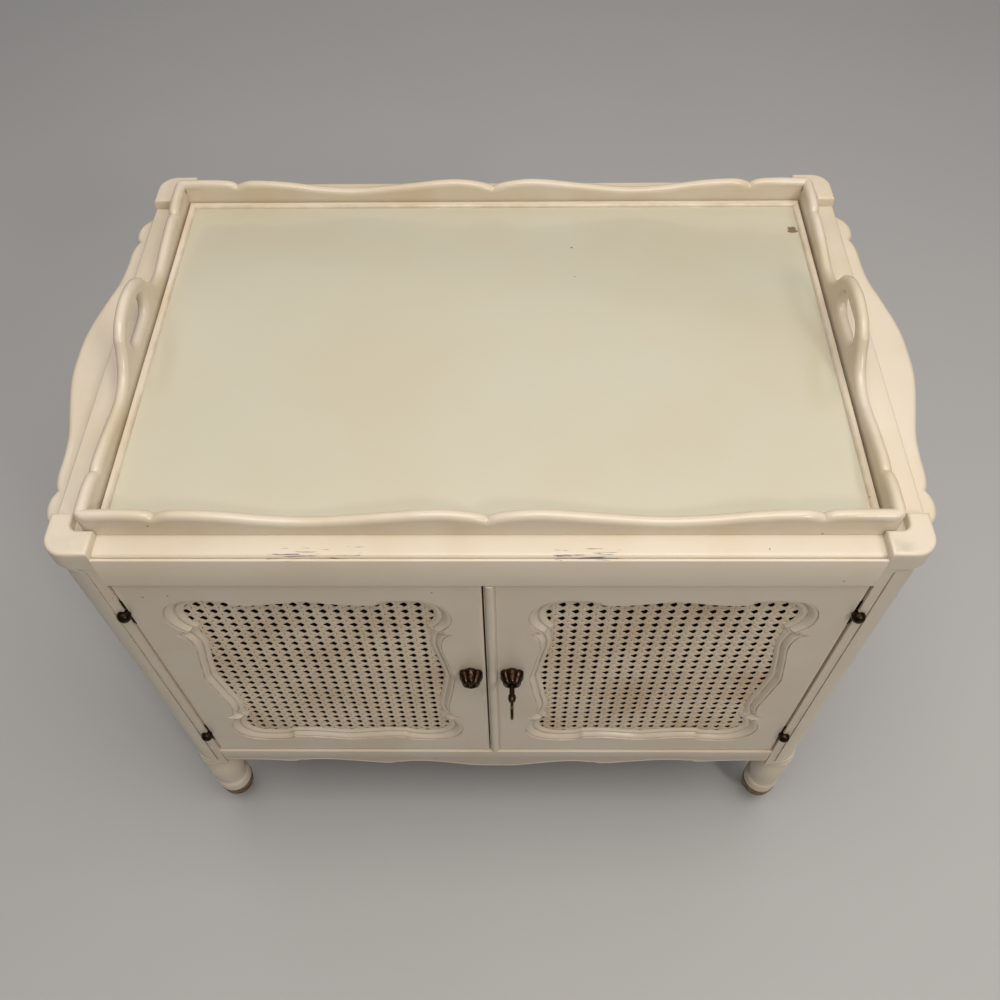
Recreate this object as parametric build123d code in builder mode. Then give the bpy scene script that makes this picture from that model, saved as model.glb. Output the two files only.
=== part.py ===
from build123d import *
import os

# Serving cabinet with a lift-off gallery tray, two cane doors, turned feet and casters.
# Millimetres, +Z up. The floor is Z = 0 and X = 0 is the left-right centre plane.
# Everything is drawn about the middle of the case, and save() then slides it back along Y,
# so that the origin is the middle of the footprint with the key's reach counted in.

# ---- driving sizes -------------------------------------------------------------------
case_width = 750.0          # across the corner blocks
case_depth = 502.0          # front of the posts to the back of the posts
block_top = 656.0           # floor to the top of the corner blocks
door_height = 396.0
wall_sink = 10.0            # rail top below the block top
frieze_height = 42.0
post_width = 40.5           # along X
post_depth = 43.0           # along Y
post_round = 30.0           # rounded outer corner of a post
block_round = 20.0          # rounded outer corner of a corner block
quirk_width = 1.6
quirk_depth = 2.0
block_drop = 26.0           # how far the block's own corner runs down from its top
base_height = 10.0          # the same at the foot of a post
base_round = 24.0
rail_thickness = 29.0
panel_recess = 6.0          # side panels behind the posts' faces
panel_thickness = 16.0
back_thickness = 8.0
board_thickness = 14.0      # bottom board
top_thickness = 12.0
shelf_thickness = 15.0
shelf_setback = 26.0        # shelf's front edge behind the doors' backs
shelf_gap = 1.0
board_lap = 1.0             # bottom board above the doors' lower edges
apron_thickness = 22.0
apron_height = 30.0         # at its straight ends
apron_drop = 20.0           # extra height of the apron's middle lobe
back_lobe_share = 0.2       # the back apron's lobe against the front one's
post_below_apron = 13.0     # posts run this far below the aprons' straight ends
side_apron_height = 28.0    # how far a side panel runs below the bottom board's top

notch_gap_x = 6.5           # block's notch beyond the tray's ends
notch_gap_y = 1.0
notch_round = 8.0
fillet_width = 2.6          # flat strip in front of the frieze's quirk
stop_gap = 0.5              # behind the doors, at the bottom board's stop
peg_radius = 3.0
peg_length = 12.0
peg_inset = 30.0
screw_head = 2.0            # screws that hold the side ledges, inside the rails
screw_head_radius = 4.5
screws_a_side = 4
screw_inset = 28.0          # end screws from the posts' inner faces

ledge_reach = 40.0          # side ledge, out from the case
ledge_thickness = 20.0
ledge_drop = 13.0           # ledge top below the rail top

tray_inset = 26.0           # tray's ends and sides, inside the case's outer planes
tray_wall = 11.0
tray_floor = 6.0
tray_round = 11.0
tray_lip = 5.0              # floor board under each wall
wall_height = 27.0          # straight part of a tray wall
wall_dip = 16.5             # lowest part of a wall's top
hump_height = 63.0
slot_length = 58.0
slot_height = 25.0
slot_centre = 33.0          # height of the hand slot's middle above the rail
floor_gap = 1.0             # floor board's corners, from the posts
bead_width = 7.0
bead_height = 4.0
bead_gap = 1.2
rest_gap = 0.2
field_rise = 0.3            # tray floor's field above its rebated edge
field_gap = 0.3             # field from the bead

door_thickness = 20.0
door_recess = 2.5           # door face behind the posts' face
door_gap = 1.5
sill_gap = 2.5
meeting_gap = 1.6
meeting_edge = -5.0         # X of the right door's meeting edge
opening_inset_x = 29.2      # carved moulding's outer line, inside a door's edges
opening_inset_z = 29.0
moulding_width = 11.0
moulding_step = 4.0
rebate_depth = 12.0         # cut from the back for the cane
rebate_margin = 5.0
cane_thickness = 2.0
cane_gap = 0.5
stile_width = 47.0
rail_height = 46.0
astragal_width = 10.5
astragal_height = 3.5

ball_radius = 6.5
ball_clearance = 0.6
hinge_out = 4.0             # hinge axis in front of the door's face
hinge_from_edge = 51.0      # from the door's end to the hinge
pin_offset = 1.5            # hinge axis outside the posts' inner faces
pin_radius = 1.5
pin_clearance = 0.05
leaf_length = 44.0
leaf_width = 15.0
leaf_thickness = 1.2

lock_height = 422.5         # above the floor
lock_from_edge = 14.9       # key axis from the framing's meeting edge
rosette_radius = 13.0       # petals' skirt, against the door
rosette_rim = 10.6          # petals' front
rosette_skirt = 8.0         # thickness of the skirt
rosette_thickness = 15.0    # skirt and front together
rosette_cup = 5.5           # radius of the hollow in front
cup_depth = 5.0
boss_radius = 3.2
boss_height = 3.0
petal_share = 0.36          # petal's radius against the flower's
petal_turn = 30.0           # puts a petal at the top
shank_radius = 2.7
case_wall = 1.6
key_clearance = 0.3
key_reach = 50.5            # from the door's face to the end of the bow
bow_radius = 10.0
bow_thickness = 3.0
case_x = 34.0
case_y = 11.0
case_z = 52.0
bolt_throw = 7.0
bolt_height = 14.0
bolt_thickness = 4.0
bolt_clearance = 0.1
bolt_inset = 0.5            # bolt's nose inside the case's edge
bolt_key_gap = 3.0          # bolt's tail from the key's shank
case_lap = 3.0              # lock case over the astragal
strike_width = 14.0
strike_inset = 1.0          # strike's edge from the left door's edge
strike_wall = 4.0
strike_over = 8.0           # strike beyond the bolt's height, each way
mouth_gap = 1.0
key_past_bolt = 1.5
collar_out = 25.0           # key's collar in front of the door's face
collar_height = 1.3
collar_length = 4.0
bow_stretch = 1.15          # bow's height against its reach
bow_width = 4.0
blade_overlap = 3.0         # shank sunk into the bow

rod_radius = 3.0
rod_clearance = 0.1
rod_length = 60.0
rod_throw = 8.0
rod_from_edge = 15.0
rod_from_back = 6.0         # flush bolt's axis from the left door's back
rod_below_top = 1.0
thumb_play = 0.5
thumb_proud = 5.0
thumb_radius = 3.5
thumb_z = 560.0             # above the floor

foot_inset = 21.5           # foot axis from the case's outer planes
foot_radius = 21.6
foot_bottom = 54.0
tenon_radius = 17.0
tenon_length = 18.0
cup_radius = 21.0
cup_bottom = 32.5
wheel_radius = 13.5
wheel_width = 12.0
wheel_bore = 2.5
axle_clearance = 0.05
trail = 9.0
stem_radius = 4.0
stem_length = 12.0
fork_thickness = 2.2
fork_gap = 0.6
crown_gap = 0.4
cheek_radius = 8.0
crown_radius = 10.0
rivet_proud = 0.75

# ---- worked out ----------------------------------------------------------------------
half_w = case_width / 2
half_d = case_depth / 2
rail_top = block_top - wall_sink
opening_top = rail_top - frieze_height
door_top = opening_top - door_gap
door_bottom = door_top - door_height
apron_top = door_bottom - sill_gap
post_bottom = apron_top - apron_height - post_below_apron
tray_length = case_width - 2 * tray_inset
tray_depth = case_depth - 2 * tray_inset
inner_w = half_w - post_width           # X of the posts' inner faces
inner_d = half_d - post_depth           # Y of the posts' inner faces
screw_pitch = 2 * (inner_d - screw_inset) / (screws_a_side - 1)
rail_in_x = half_w - rail_thickness
rail_in_y = half_d - rail_thickness
recess_top = rail_top - tray_floor      # board that the tray's floor lies on
door_face = -half_d + door_recess
door_back = door_face + door_thickness
hinge_x = inner_w + pin_offset
hinge_y = door_face - hinge_out
hinge_z = (door_top - hinge_from_edge, door_bottom + hinge_from_edge)
rod_y = door_back - rod_from_back
left_edges = (-inner_w + door_gap, meeting_edge - meeting_gap)
right_edges = (meeting_edge + astragal_width, inner_w - door_gap)
opening_half_width = (left_edges[1] - left_edges[0]) / 2 - opening_inset_x
opening_half_height = door_height / 2 - opening_inset_z
lock_x = right_edges[0] + lock_from_edge
shift_y = (key_reach - door_recess) / 2  # slides the case back so the box is centred
board_top = door_bottom + board_lap
cane_front = door_back - rebate_depth
shelf_top = (board_top + recess_top - top_thickness) / 2 + shelf_thickness / 2

SIDES = (("left", -1), ("right", 1))
ENDS = (("front", -1), ("back", 1))
os.makedirs("parts", exist_ok=True)


def save(part, name):
    """Label a finished piece, slide it to its place and write it."""
    placed = Pos(0, shift_y, 0) * part
    placed.label = name
    export_step(placed, "parts/" + name + ".step")


def block(x, y, z, mode=Mode.ADD):
    """A box between two X, two Y and two Z values, in the part that is being built."""
    with Locations(((x[0] + x[1]) / 2, (y[0] + y[1]) / 2, (z[0] + z[1]) / 2)):
        Box(abs(x[1] - x[0]), abs(y[1] - y[0]), abs(z[1] - z[0]), mode=mode)


def corner_plan(radius, sx, sy):
    """Plan of a post whose outer corner, at (sx * half_w, sy * half_d), is rounded."""
    ox, oy = sx * half_w, sy * half_d
    bow = radius * (1 - 0.5**0.5)
    with BuildSketch() as plan:
        with BuildLine():
            Polyline(
                (ox - sx * radius, oy),
                (ox - sx * post_width, oy),
                (ox - sx * post_width, oy - sy * post_depth),
                (ox, oy - sy * post_depth),
                (ox, oy - sy * radius),
            )
            ThreePointArc((ox, oy - sy * radius), (ox - sx * bow, oy - sy * bow), (ox - sx * radius, oy))
        make_face()
    return plan.sketch


# ---- corner posts --------------------------------------------------------------------
def make_post(sx, sy):
    """Post with a quirked round corner, a plain foot and a raised L-shaped block on top."""
    ox, oy = sx * half_w, sy * half_d
    shaft = (post_bottom + base_height, block_top - block_drop)
    notch_x = tray_length / 2 + notch_gap_x
    notch_y = tray_depth / 2 + notch_gap_y
    with BuildPart() as post:
        stretches = (
            (post_bottom, shaft[0], base_round),
            (shaft[0], shaft[1], post_round),
            (shaft[1], block_top, block_round),
        )
        for low, high, radius in stretches:
            with BuildSketch(Plane.XY.offset(low)):
                add(corner_plan(radius, sx, sy))
            extrude(amount=high - low)
        quirk = (post_round, post_round + quirk_width)
        front_groove = ((ox - sx * quirk[0], ox - sx * quirk[1]), (oy + sy, oy - sy * quirk_depth))
        side_groove = ((ox + sx, ox - sx * quirk_depth), (oy - sy * quirk[0], oy - sy * quirk[1]))
        block(*front_groove, shaft, Mode.SUBTRACT)
        block(*side_groove, shaft, Mode.SUBTRACT)
        with BuildSketch(Plane.XY.offset(rail_top)):
            with BuildLine():
                Polyline(
                    (sx * (notch_x - notch_round), sy * notch_y),
                    (sx * (inner_w - 1), sy * notch_y),
                    (sx * (inner_w - 1), sy * (inner_d - 1)),
                    (sx * notch_x, sy * (inner_d - 1)),
                    (sx * notch_x, sy * (notch_y - notch_round)),
                )
                bow = notch_round * (1 - 0.5**0.5)
                ThreePointArc(
                    (sx * notch_x, sy * (notch_y - notch_round)),
                    (sx * (notch_x - bow), sy * (notch_y - bow)),
                    (sx * (notch_x - notch_round), sy * notch_y),
                )
            make_face()
        extrude(amount=wall_sink + 1, mode=Mode.SUBTRACT)
        if sy < 0:
            for z in hinge_z:
                hinge_seat(sx, z, sx * inner_w)
    return post.part


def hinge_seat(sx, z, edge_x):
    """Hollow for a hinge ball and a shallow seat for its leaf, in a post or a door's stile."""
    with Locations((sx * hinge_x, hinge_y, z)):
        Sphere(ball_radius + ball_clearance, mode=Mode.SUBTRACT)
    toward = 1 if edge_x == sx * inner_w else -1
    deep = edge_x + sx * toward * leaf_thickness
    block(
        (edge_x - sx * toward, deep),
        (door_face - 1, door_face + leaf_width),
        (z - leaf_length / 2, z + leaf_length / 2),
        Mode.SUBTRACT,
    )


for end, sy in ENDS:
    for side, sx in SIDES:
        save(make_post(sx, sy), f"{end}_{side}_post")

# ---- rails, boards and panels --------------------------------------------------------
with BuildPart() as front_frieze:
    block((-inner_w, inner_w), (-half_d, -rail_in_y), (opening_top, rail_top))
    quirk_y = -half_d + fillet_width
    groove_z = (rail_top - quirk_depth, rail_top + 1)
    block((-inner_w, inner_w), (quirk_y, quirk_y + quirk_width), groove_z, Mode.SUBTRACT)
    with Locations((left_edges[1] - rod_from_edge, rod_y, opening_top)):
        Cylinder(
            rod_radius + rod_clearance,
            2 * (rod_throw + rod_clearance + door_gap),
            mode=Mode.SUBTRACT,
        )
save(front_frieze.part, "front_frieze")

with BuildPart() as back_top_rail:
    block((-inner_w, inner_w), (rail_in_y, half_d), (opening_top, rail_top))
save(back_top_rail.part, "back_top_rail")

for side, sx in SIDES:
    with BuildPart() as side_top_rail:
        block((sx * rail_in_x, sx * half_w), (-inner_d, inner_d), (opening_top, rail_top))
    save(side_top_rail.part, f"{side}_top_rail")

with BuildPart() as top_board:
    block((-rail_in_x, rail_in_x), (-rail_in_y, rail_in_y), (recess_top - top_thickness, recess_top))
    for sy in (-1, 1):
        for sx in (-1, 1):
            block(
                (sx * inner_w, sx * half_w),
                (sy * inner_d, sy * half_d),
                (recess_top - top_thickness - 1, recess_top + 1),
                Mode.SUBTRACT,
            )
save(top_board.part, "top_board")


def apron_outline(half, bottom, lobe):
    """Lower edge of an apron: a broad middle lobe between cusps, mirrored about the middle."""
    with BuildLine() as edge:
        Spline((0, bottom - lobe), (0.17 * half, bottom - 0.80 * lobe), (0.355 * half, bottom - 0.42 * lobe),
               tangents=((1, 0), (1, -0.05)))
        Spline((0.355 * half, bottom - 0.42 * lobe), (0.53 * half, bottom - 0.02 * lobe),
               (0.70 * half, bottom - 0.25 * lobe), tangents=((1, 0.5), (1, -0.05)))
        Spline((0.70 * half, bottom - 0.25 * lobe), (0.84 * half, bottom), (half, bottom),
               tangents=((1, 0.5), (1, 0)))
        mirror(about=Plane.YZ)
    return edge.line


def make_apron(y, lobe):
    with BuildPart() as apron:
        with BuildSketch(Plane.XZ.offset(-y[1])):
            with BuildLine():
                add(apron_outline(inner_w, apron_top - apron_height, lobe))
                Polyline(
                    (-inner_w, apron_top - apron_height),
                    (-inner_w, apron_top),
                    (inner_w, apron_top),
                    (inner_w, apron_top - apron_height),
                )
            make_face()
        extrude(amount=y[1] - y[0])
    return apron.part


save(make_apron((-half_d, -half_d + apron_thickness), apron_drop), "front_apron")
save(make_apron((half_d - apron_thickness, half_d), back_lobe_share * apron_drop), "back_apron")

for side, sx in SIDES:
    with BuildPart() as side_panel:
        face = half_w - panel_recess
        low = apron_top - side_apron_height
        with BuildSketch(Plane.YZ.offset(sx * face)):
            with BuildLine():
                ThreePointArc((-inner_d, low), (0, low + 0.3 * side_apron_height), (inner_d, low))
                Polyline((inner_d, low), (inner_d, opening_top), (-inner_d, opening_top), (-inner_d, low))
            make_face()
        extrude(amount=-sx * panel_thickness)
    save(side_panel.part, f"{side}_side_panel")

panel_in_x = half_w - panel_recess - panel_thickness
back_face = half_d - panel_recess - back_thickness
with BuildPart() as back_panel:
    block((-inner_w, inner_w), (back_face, back_face + back_thickness), (apron_top, opening_top))
save(back_panel.part, "back_panel")

with BuildPart() as bottom_board:
    front = -half_d + apron_thickness
    block((-inner_w, inner_w), (front, half_d - apron_thickness), (apron_top - board_thickness, apron_top))
    block((-inner_w, inner_w), (door_back + stop_gap, back_face), (apron_top, board_top))
    block((-panel_in_x, panel_in_x), (-inner_d, inner_d), (apron_top - board_thickness, board_top))
save(bottom_board.part, "bottom_board")

shelf_x = panel_in_x - shelf_gap
shelf_front = door_back + shelf_setback
with BuildPart() as shelf:
    shelf_z = (shelf_top - shelf_thickness, shelf_top)
    between_posts = inner_w - shelf_gap
    block((-between_posts, between_posts), (shelf_front, back_face - shelf_gap), shelf_z)
    block((-shelf_x, shelf_x), (shelf_gap - inner_d, inner_d - shelf_gap), shelf_z)
save(shelf.part, "shelf")

with BuildPart() as shelf_pegs:
    for sx in (-1, 1):
        with BuildSketch(Plane.YZ.offset(sx * panel_in_x)):
            for sy in (-1, 1):
                with Locations((sy * (inner_d - peg_inset), shelf_top - shelf_thickness - peg_radius)):
                    Circle(peg_radius)
        extrude(amount=-sx * peg_length)
save(shelf_pegs.part, "shelf_pegs")


# ---- side ledges ---------------------------------------------------------------------
def make_ledge(sx):
    """Scalloped board along one side; cusps near each end, a long swell in the middle."""
    reach, top = ledge_reach, rail_top - ledge_drop
    with BuildPart() as ledge:
        with BuildSketch(Plane.XY.offset(top - ledge_thickness)):
            with BuildLine():
                Spline((half_w + reach, 0), (half_w + 0.93 * reach, 0.16 * inner_d),
                       (half_w + 0.66 * reach, 0.38 * inner_d), (half_w + 0.50 * reach, 0.60 * inner_d),
                       (half_w + 0.385 * reach, 0.80 * inner_d), tangents=((0, 1), (-0.5, 1)))
                Spline((half_w + 0.385 * reach, 0.80 * inner_d), (half_w + 0.46 * reach, 0.90 * inner_d),
                       (half_w + 0.22 * reach, inner_d), tangents=((0.6, 1), (-1, 0.9)))
                mirror(about=Plane.XZ)
                Polyline(
                    (half_w + 0.22 * reach, inner_d),
                    (half_w, inner_d),
                    (half_w, -inner_d),
                    (half_w + 0.22 * reach, -inner_d),
                )
            make_face()
        extrude(amount=ledge_thickness)
    return ledge.part if sx > 0 else mirror(ledge.part, about=Plane.YZ)


for side, sx in SIDES:
    save(make_ledge(sx), f"{side}_ledge")

with BuildPart() as ledge_screws:
    for sx in (-1, 1):
        with BuildSketch(Plane.YZ.offset(sx * (rail_in_x - screw_head))):
            with Locations((0, rail_top - ledge_drop - ledge_thickness / 2)):
                with GridLocations(screw_pitch, 1, screws_a_side, 1):
                    Circle(screw_head_radius)
        extrude(amount=sx * screw_head)
save(ledge_screws.part, "ledge_screws")

# ---- feet and casters ----------------------------------------------------------------
def make_foot(sx, sy):
    """Turned foot: top disc, short vase, hollow neck, ring, and a tenon for the caster's cup."""
    r, top, low = foot_radius, post_bottom, foot_bottom
    tall = top - low
    with BuildPart() as foot:
        with BuildSketch(Plane.XZ):
            with BuildLine():
                Polyline((0, top), (r, top), (r, top - 0.05 * tall), (0.82 * r, top - 0.07 * tall))
                Spline((0.82 * r, top - 0.07 * tall), (r * 1.04, top - 0.33 * tall),
                       (0.84 * r, top - 0.72 * tall), (0.98 * r, top - 0.85 * tall))
                Polyline((0.98 * r, top - 0.85 * tall), (r, top - 0.87 * tall), (r, low + 0.04 * tall),
                         (cup_radius - 1, low), (tenon_radius, low), (tenon_radius, low - tenon_length),
                         (0, low - tenon_length), (0, top))
            make_face()
        revolve(axis=Axis.Z)
        with Locations((0, 0, low - tenon_length)):
            Cylinder(stem_radius + 1.0, 2 * stem_length, mode=Mode.SUBTRACT)
    return Pos(sx * (half_w - foot_inset), sy * (half_d - foot_inset), 0) * foot.part


for end, sy in ENDS:
    for side, sx in SIDES:
        save(make_foot(sx, sy), f"{end}_{side}_foot")

feet = [(sx * (half_w - foot_inset), sy * (half_d - foot_inset)) for sy in (-1, 1) for sx in (-1, 1)]
with BuildPart() as caster_cups:
    with BuildSketch(Plane.XY.offset(cup_bottom)):
        with Locations(*feet):
            Circle(cup_radius)
            Circle(stem_radius + axle_clearance, mode=Mode.SUBTRACT)
    extrude(amount=foot_bottom - cup_bottom)
    with BuildSketch(Plane.XY.offset(foot_bottom - tenon_length)):
        with Locations(*feet):
            Circle(tenon_radius)
    extrude(amount=tenon_length, mode=Mode.SUBTRACT)
save(caster_cups.part, "caster_cups")


def make_fork(x, y):
    """Swivel stem, crown and two cheeks with the riveted axle, trailing towards the back."""
    crown_top = cup_bottom - crown_gap
    inner = wheel_width / 2 + fork_gap
    outer = inner + fork_thickness
    wheel_y = y + trail
    with BuildPart() as fork:
        with BuildSketch(Plane.XY.offset(crown_top - fork_thickness)):
            with Locations((x, y)):
                Circle(crown_radius)
            with Locations((x, (y + wheel_y) / 2)):
                Rectangle(2 * outer, trail)
        extrude(amount=fork_thickness)
        for sx in (-1, 1):
            with BuildSketch(Plane.YZ.offset(x + sx * inner)):
                with BuildLine():
                    Polyline(
                        (wheel_y + cheek_radius, wheel_radius),
                        (wheel_y + cheek_radius, crown_top),
                        (y - cheek_radius, crown_top),
                        (y - cheek_radius, crown_top - fork_thickness),
                        (wheel_y - cheek_radius, wheel_radius),
                    )
                    ThreePointArc(
                        (wheel_y - cheek_radius, wheel_radius),
                        (wheel_y, wheel_radius - cheek_radius),
                        (wheel_y + cheek_radius, wheel_radius),
                    )
                make_face()
            extrude(amount=sx * fork_thickness)
        with Locations((x, y, crown_top)):
            Cylinder(stem_radius, stem_length, align=(Align.CENTER, Align.CENTER, Align.MIN))
        with Locations(Location((x, wheel_y, wheel_radius), (0, 90, 0))):
            Cylinder(wheel_bore - axle_clearance, 2 * (outer + rivet_proud))
    return fork.part


def make_wheel(x, y):
    with BuildPart() as wheel:
        with Locations(Location((x, y + trail, wheel_radius), (0, 90, 0))):
            Cylinder(wheel_radius, wheel_width)
            fillet(wheel.edges().filter_by(GeomType.CIRCLE), 0.12 * wheel_width)
            Cylinder(wheel_bore, 2 * wheel_width, mode=Mode.SUBTRACT)
    return wheel.part


corners = [f"{end}_{side}" for end, sy in ENDS for side, sx in SIDES]
for name, (x, y) in zip(corners, feet):
    save(make_fork(x, y), f"{name}_fork")
    save(make_wheel(x, y), f"{name}_wheel")


# ---- doors ---------------------------------------------------------------------------
def opening_plan(middle, inset):
    """Carved opening of a door in the XZ plane, drawn inset from its outer line."""
    w = opening_half_width - inset
    h = opening_half_height - inset
    ear = 0.5 * inset
    with BuildSketch(Plane.XZ) as plan:
        with BuildLine() as outline:
            Spline((0, h), (0.34 * w, h - 8), (0.49 * w, h - 8), tangents=((1, 0), (1, 0.05)))
            Spline((0.49 * w, h - 8), (0.64 * w, h - 1), (0.90 * w, h - 7), (w, h - 32),
                   (0.93 * w, 0.655 * h + ear), tangents=((0.3, 1), (-1, -0.8)))
            Line((0.93 * w, 0.655 * h + ear), (0.985 * w, 0.605 * h))
            Spline((0.985 * w, 0.605 * h), (0.905 * w, 0.455 * h), (0.955 * w, 0.20 * h), (0.98 * w, 0),
                   tangents=((-1, -0.2), (0, -1)))
            mirror(about=Plane.XZ)
            mirror(about=Plane.YZ)
        make_face()
    return Pos(middle[0], 0, middle[1]) * plan.sketch


def door_sheet(edges):
    """One door's framing before it is divided: board, carved opening and cane rebate."""
    middle = ((edges[0] + edges[1]) / 2, (door_top + door_bottom) / 2)
    reach_x = opening_half_width - moulding_width + rebate_margin
    reach_z = opening_half_height - moulding_width + rebate_margin
    with BuildPart() as sheet:
        block(edges, (door_face, door_back), (door_bottom, door_top))
        with BuildSketch(Plane.XZ.offset(-door_face)):
            add(opening_plan(middle, 0))
        extrude(amount=-moulding_step, mode=Mode.SUBTRACT)
        with BuildSketch(Plane.XZ.offset(-door_face)):
            add(opening_plan(middle, moulding_width))
        extrude(amount=-door_thickness, mode=Mode.SUBTRACT)
        block(
            (middle[0] - reach_x, middle[0] + reach_x),
            (door_back - rebate_depth, door_back + 1),
            (middle[1] - reach_z, middle[1] + reach_z),
            Mode.SUBTRACT,
        )
    return sheet.part


def divide_door(name, edges, hinge_side):
    """Cut the framing into stiles and rails, with hinge seats in the hinge stile."""
    sheet = door_sheet(edges)
    outer = edges[0] if hinge_side < 0 else edges[1]
    inner = edges[1] if hinge_side < 0 else edges[0]
    split_outer = outer - hinge_side * stile_width
    split_inner = inner + hinge_side * stile_width
    deep = (door_face - 1, door_back + 1)
    with BuildPart() as hinge_stile:
        add(sheet)
        block((outer, split_outer), deep, (door_bottom, door_top), Mode.INTERSECT)
        for z in hinge_z:
            hinge_seat(hinge_side, z, outer)
    save(hinge_stile.part, f"{name}_hinge_stile")
    with BuildPart() as meeting_stile:
        add(sheet)
        block((inner, split_inner), deep, (door_bottom, door_top), Mode.INTERSECT)
        if hinge_side < 0:
            rod_hole(Mode.SUBTRACT)
        else:
            with Locations(Location((lock_x, (door_face + door_back) / 2, lock_height), (90, 0, 0))):
                Cylinder(shank_radius + key_clearance, 2 * door_thickness, mode=Mode.SUBTRACT)
    save(meeting_stile.part, f"{name}_meeting_stile")
    rails = {"top": (door_top - rail_height, door_top), "bottom": (door_bottom, door_bottom + rail_height)}
    for rail, z in rails.items():
        with BuildPart() as door_rail:
            add(sheet)
            block((split_outer, split_inner), deep, z, Mode.INTERSECT)
        save(door_rail.part, f"{name}_{rail}_rail")


def rod_hole(mode):
    """Bore and thumb slot of the left door's flush bolt."""
    x = left_edges[1] - rod_from_edge
    with Locations((x, rod_y, door_top)):
        Cylinder(
            rod_radius + rod_clearance,
            2 * (rod_length + rod_throw),
            mode=mode,
        )
    block(
        (x - thumb_radius - thumb_play, x + thumb_radius + thumb_play),
        (rod_y, door_back + 1),
        (thumb_z - thumb_radius - thumb_play, thumb_z + rod_throw + thumb_radius + thumb_play),
        mode,
    )


DOORS = (("left_door", left_edges, -1), ("right_door", right_edges, 1))
for name, edges, hinge_side in DOORS:
    divide_door(name, edges, hinge_side)
    middle_x = (edges[0] + edges[1]) / 2
    middle_z = (door_top + door_bottom) / 2
    half_x = opening_half_width - moulding_width + rebate_margin - cane_gap
    half_z = opening_half_height - moulding_width + rebate_margin - cane_gap
    with BuildPart() as cane:
        block(
            (middle_x - half_x, middle_x + half_x),
            (cane_front, cane_front + cane_thickness),
            (middle_z - half_z, middle_z + half_z),
        )
    save(cane.part, f"{name}_cane")

with BuildPart() as astragal:
    with BuildSketch(Plane.XY.offset(door_bottom)):
        with Locations((meeting_edge + astragal_width / 2, door_face)):
            Ellipse(astragal_width / 2, astragal_height)
            Rectangle(astragal_width, astragal_height, align=(Align.CENTER, Align.MIN), mode=Mode.SUBTRACT)
            Rectangle(astragal_width, door_thickness, align=(Align.CENTER, Align.MIN))
    extrude(amount=door_height)
save(astragal.part, "astragal")


# ---- ball hinges ---------------------------------------------------------------------
def hinge_half(sx, z, on_door):
    """Leaf, neck and half ball; the post's half carries the pin, the door's half turns on it."""
    edge = sx * (inner_w - door_gap) if on_door else sx * inner_w
    deep = edge - sx * leaf_thickness if on_door else edge + sx * leaf_thickness
    up = 1 if on_door else -1
    near = z + up * pin_clearance
    with BuildPart() as half:
        block((deep, edge), (door_face, door_face + leaf_width), (z - leaf_length / 2, z + leaf_length / 2))
        with Locations((sx * hinge_x, hinge_y, z)):
            Sphere(ball_radius + ball_clearance, mode=Mode.SUBTRACT)
        block((deep, edge), (hinge_y, door_face + ball_radius), (near, z + up * ball_radius * 0.7))
        with Locations((sx * hinge_x, hinge_y, near)):
            Sphere(
                ball_radius,
                arc_size1=0 if on_door else -90,
                arc_size2=90 if on_door else 0,
                align=(Align.CENTER, Align.CENTER, Align.MIN if on_door else Align.MAX),
            )
        with Locations((sx * hinge_x, hinge_y, z)):
            if on_door:
                Cylinder(pin_radius + pin_clearance, 3 * ball_radius, mode=Mode.SUBTRACT)
            else:
                Cylinder(pin_radius, 1.7 * ball_radius)
    return half.part


with BuildPart() as hinge_post_halves:
    for sx in (-1, 1):
        for z in hinge_z:
            add(hinge_half(sx, z, False))
save(hinge_post_halves.part, "hinge_post_halves")

for name, edges, sx in DOORS:
    with BuildPart() as hinge_door_halves:
        for z in hinge_z:
            add(hinge_half(sx, z, True))
    save(hinge_door_halves.part, f"{name}_hinge_halves")


# ---- rosettes, lock and key ----------------------------------------------------------
def flower(x, radius, thickness):
    """Six-petalled outline against the door's face, extruded outwards."""
    petal = petal_share * radius
    with BuildPart() as petals:
        with BuildSketch(Plane.XZ.offset(-door_face)):
            with Locations((x, lock_height)):
                Circle(radius - petal)
                with PolarLocations(radius - petal, 6, start_angle=petal_turn):
                    Circle(petal)
        extrude(amount=thickness)
    return petals.part


def make_rosette(x, pierced):
    """Flower of two tiers, hollow in front round a small boss; the right one is pierced for the key."""
    with BuildPart() as rosette:
        add(flower(x, rosette_radius, rosette_skirt))
        add(flower(x, rosette_rim, rosette_thickness))
        with Locations(Location((x, door_face - rosette_thickness, lock_height), (90, 0, 0))):
            Cylinder(rosette_cup, 2 * cup_depth, mode=Mode.SUBTRACT)
        with Locations(Location((x, door_face - rosette_thickness + cup_depth, lock_height), (90, 0, 0))):
            Cone(boss_radius + 1, boss_radius, boss_height, align=(Align.CENTER, Align.CENTER, Align.MIN))
            if pierced:
                Cylinder(shank_radius + key_clearance, 4 * rosette_thickness, mode=Mode.SUBTRACT)
    return rosette.part


save(make_rosette(left_edges[1] - lock_from_edge, False), "left_rosette")
save(make_rosette(lock_x, True), "right_rosette")

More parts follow.
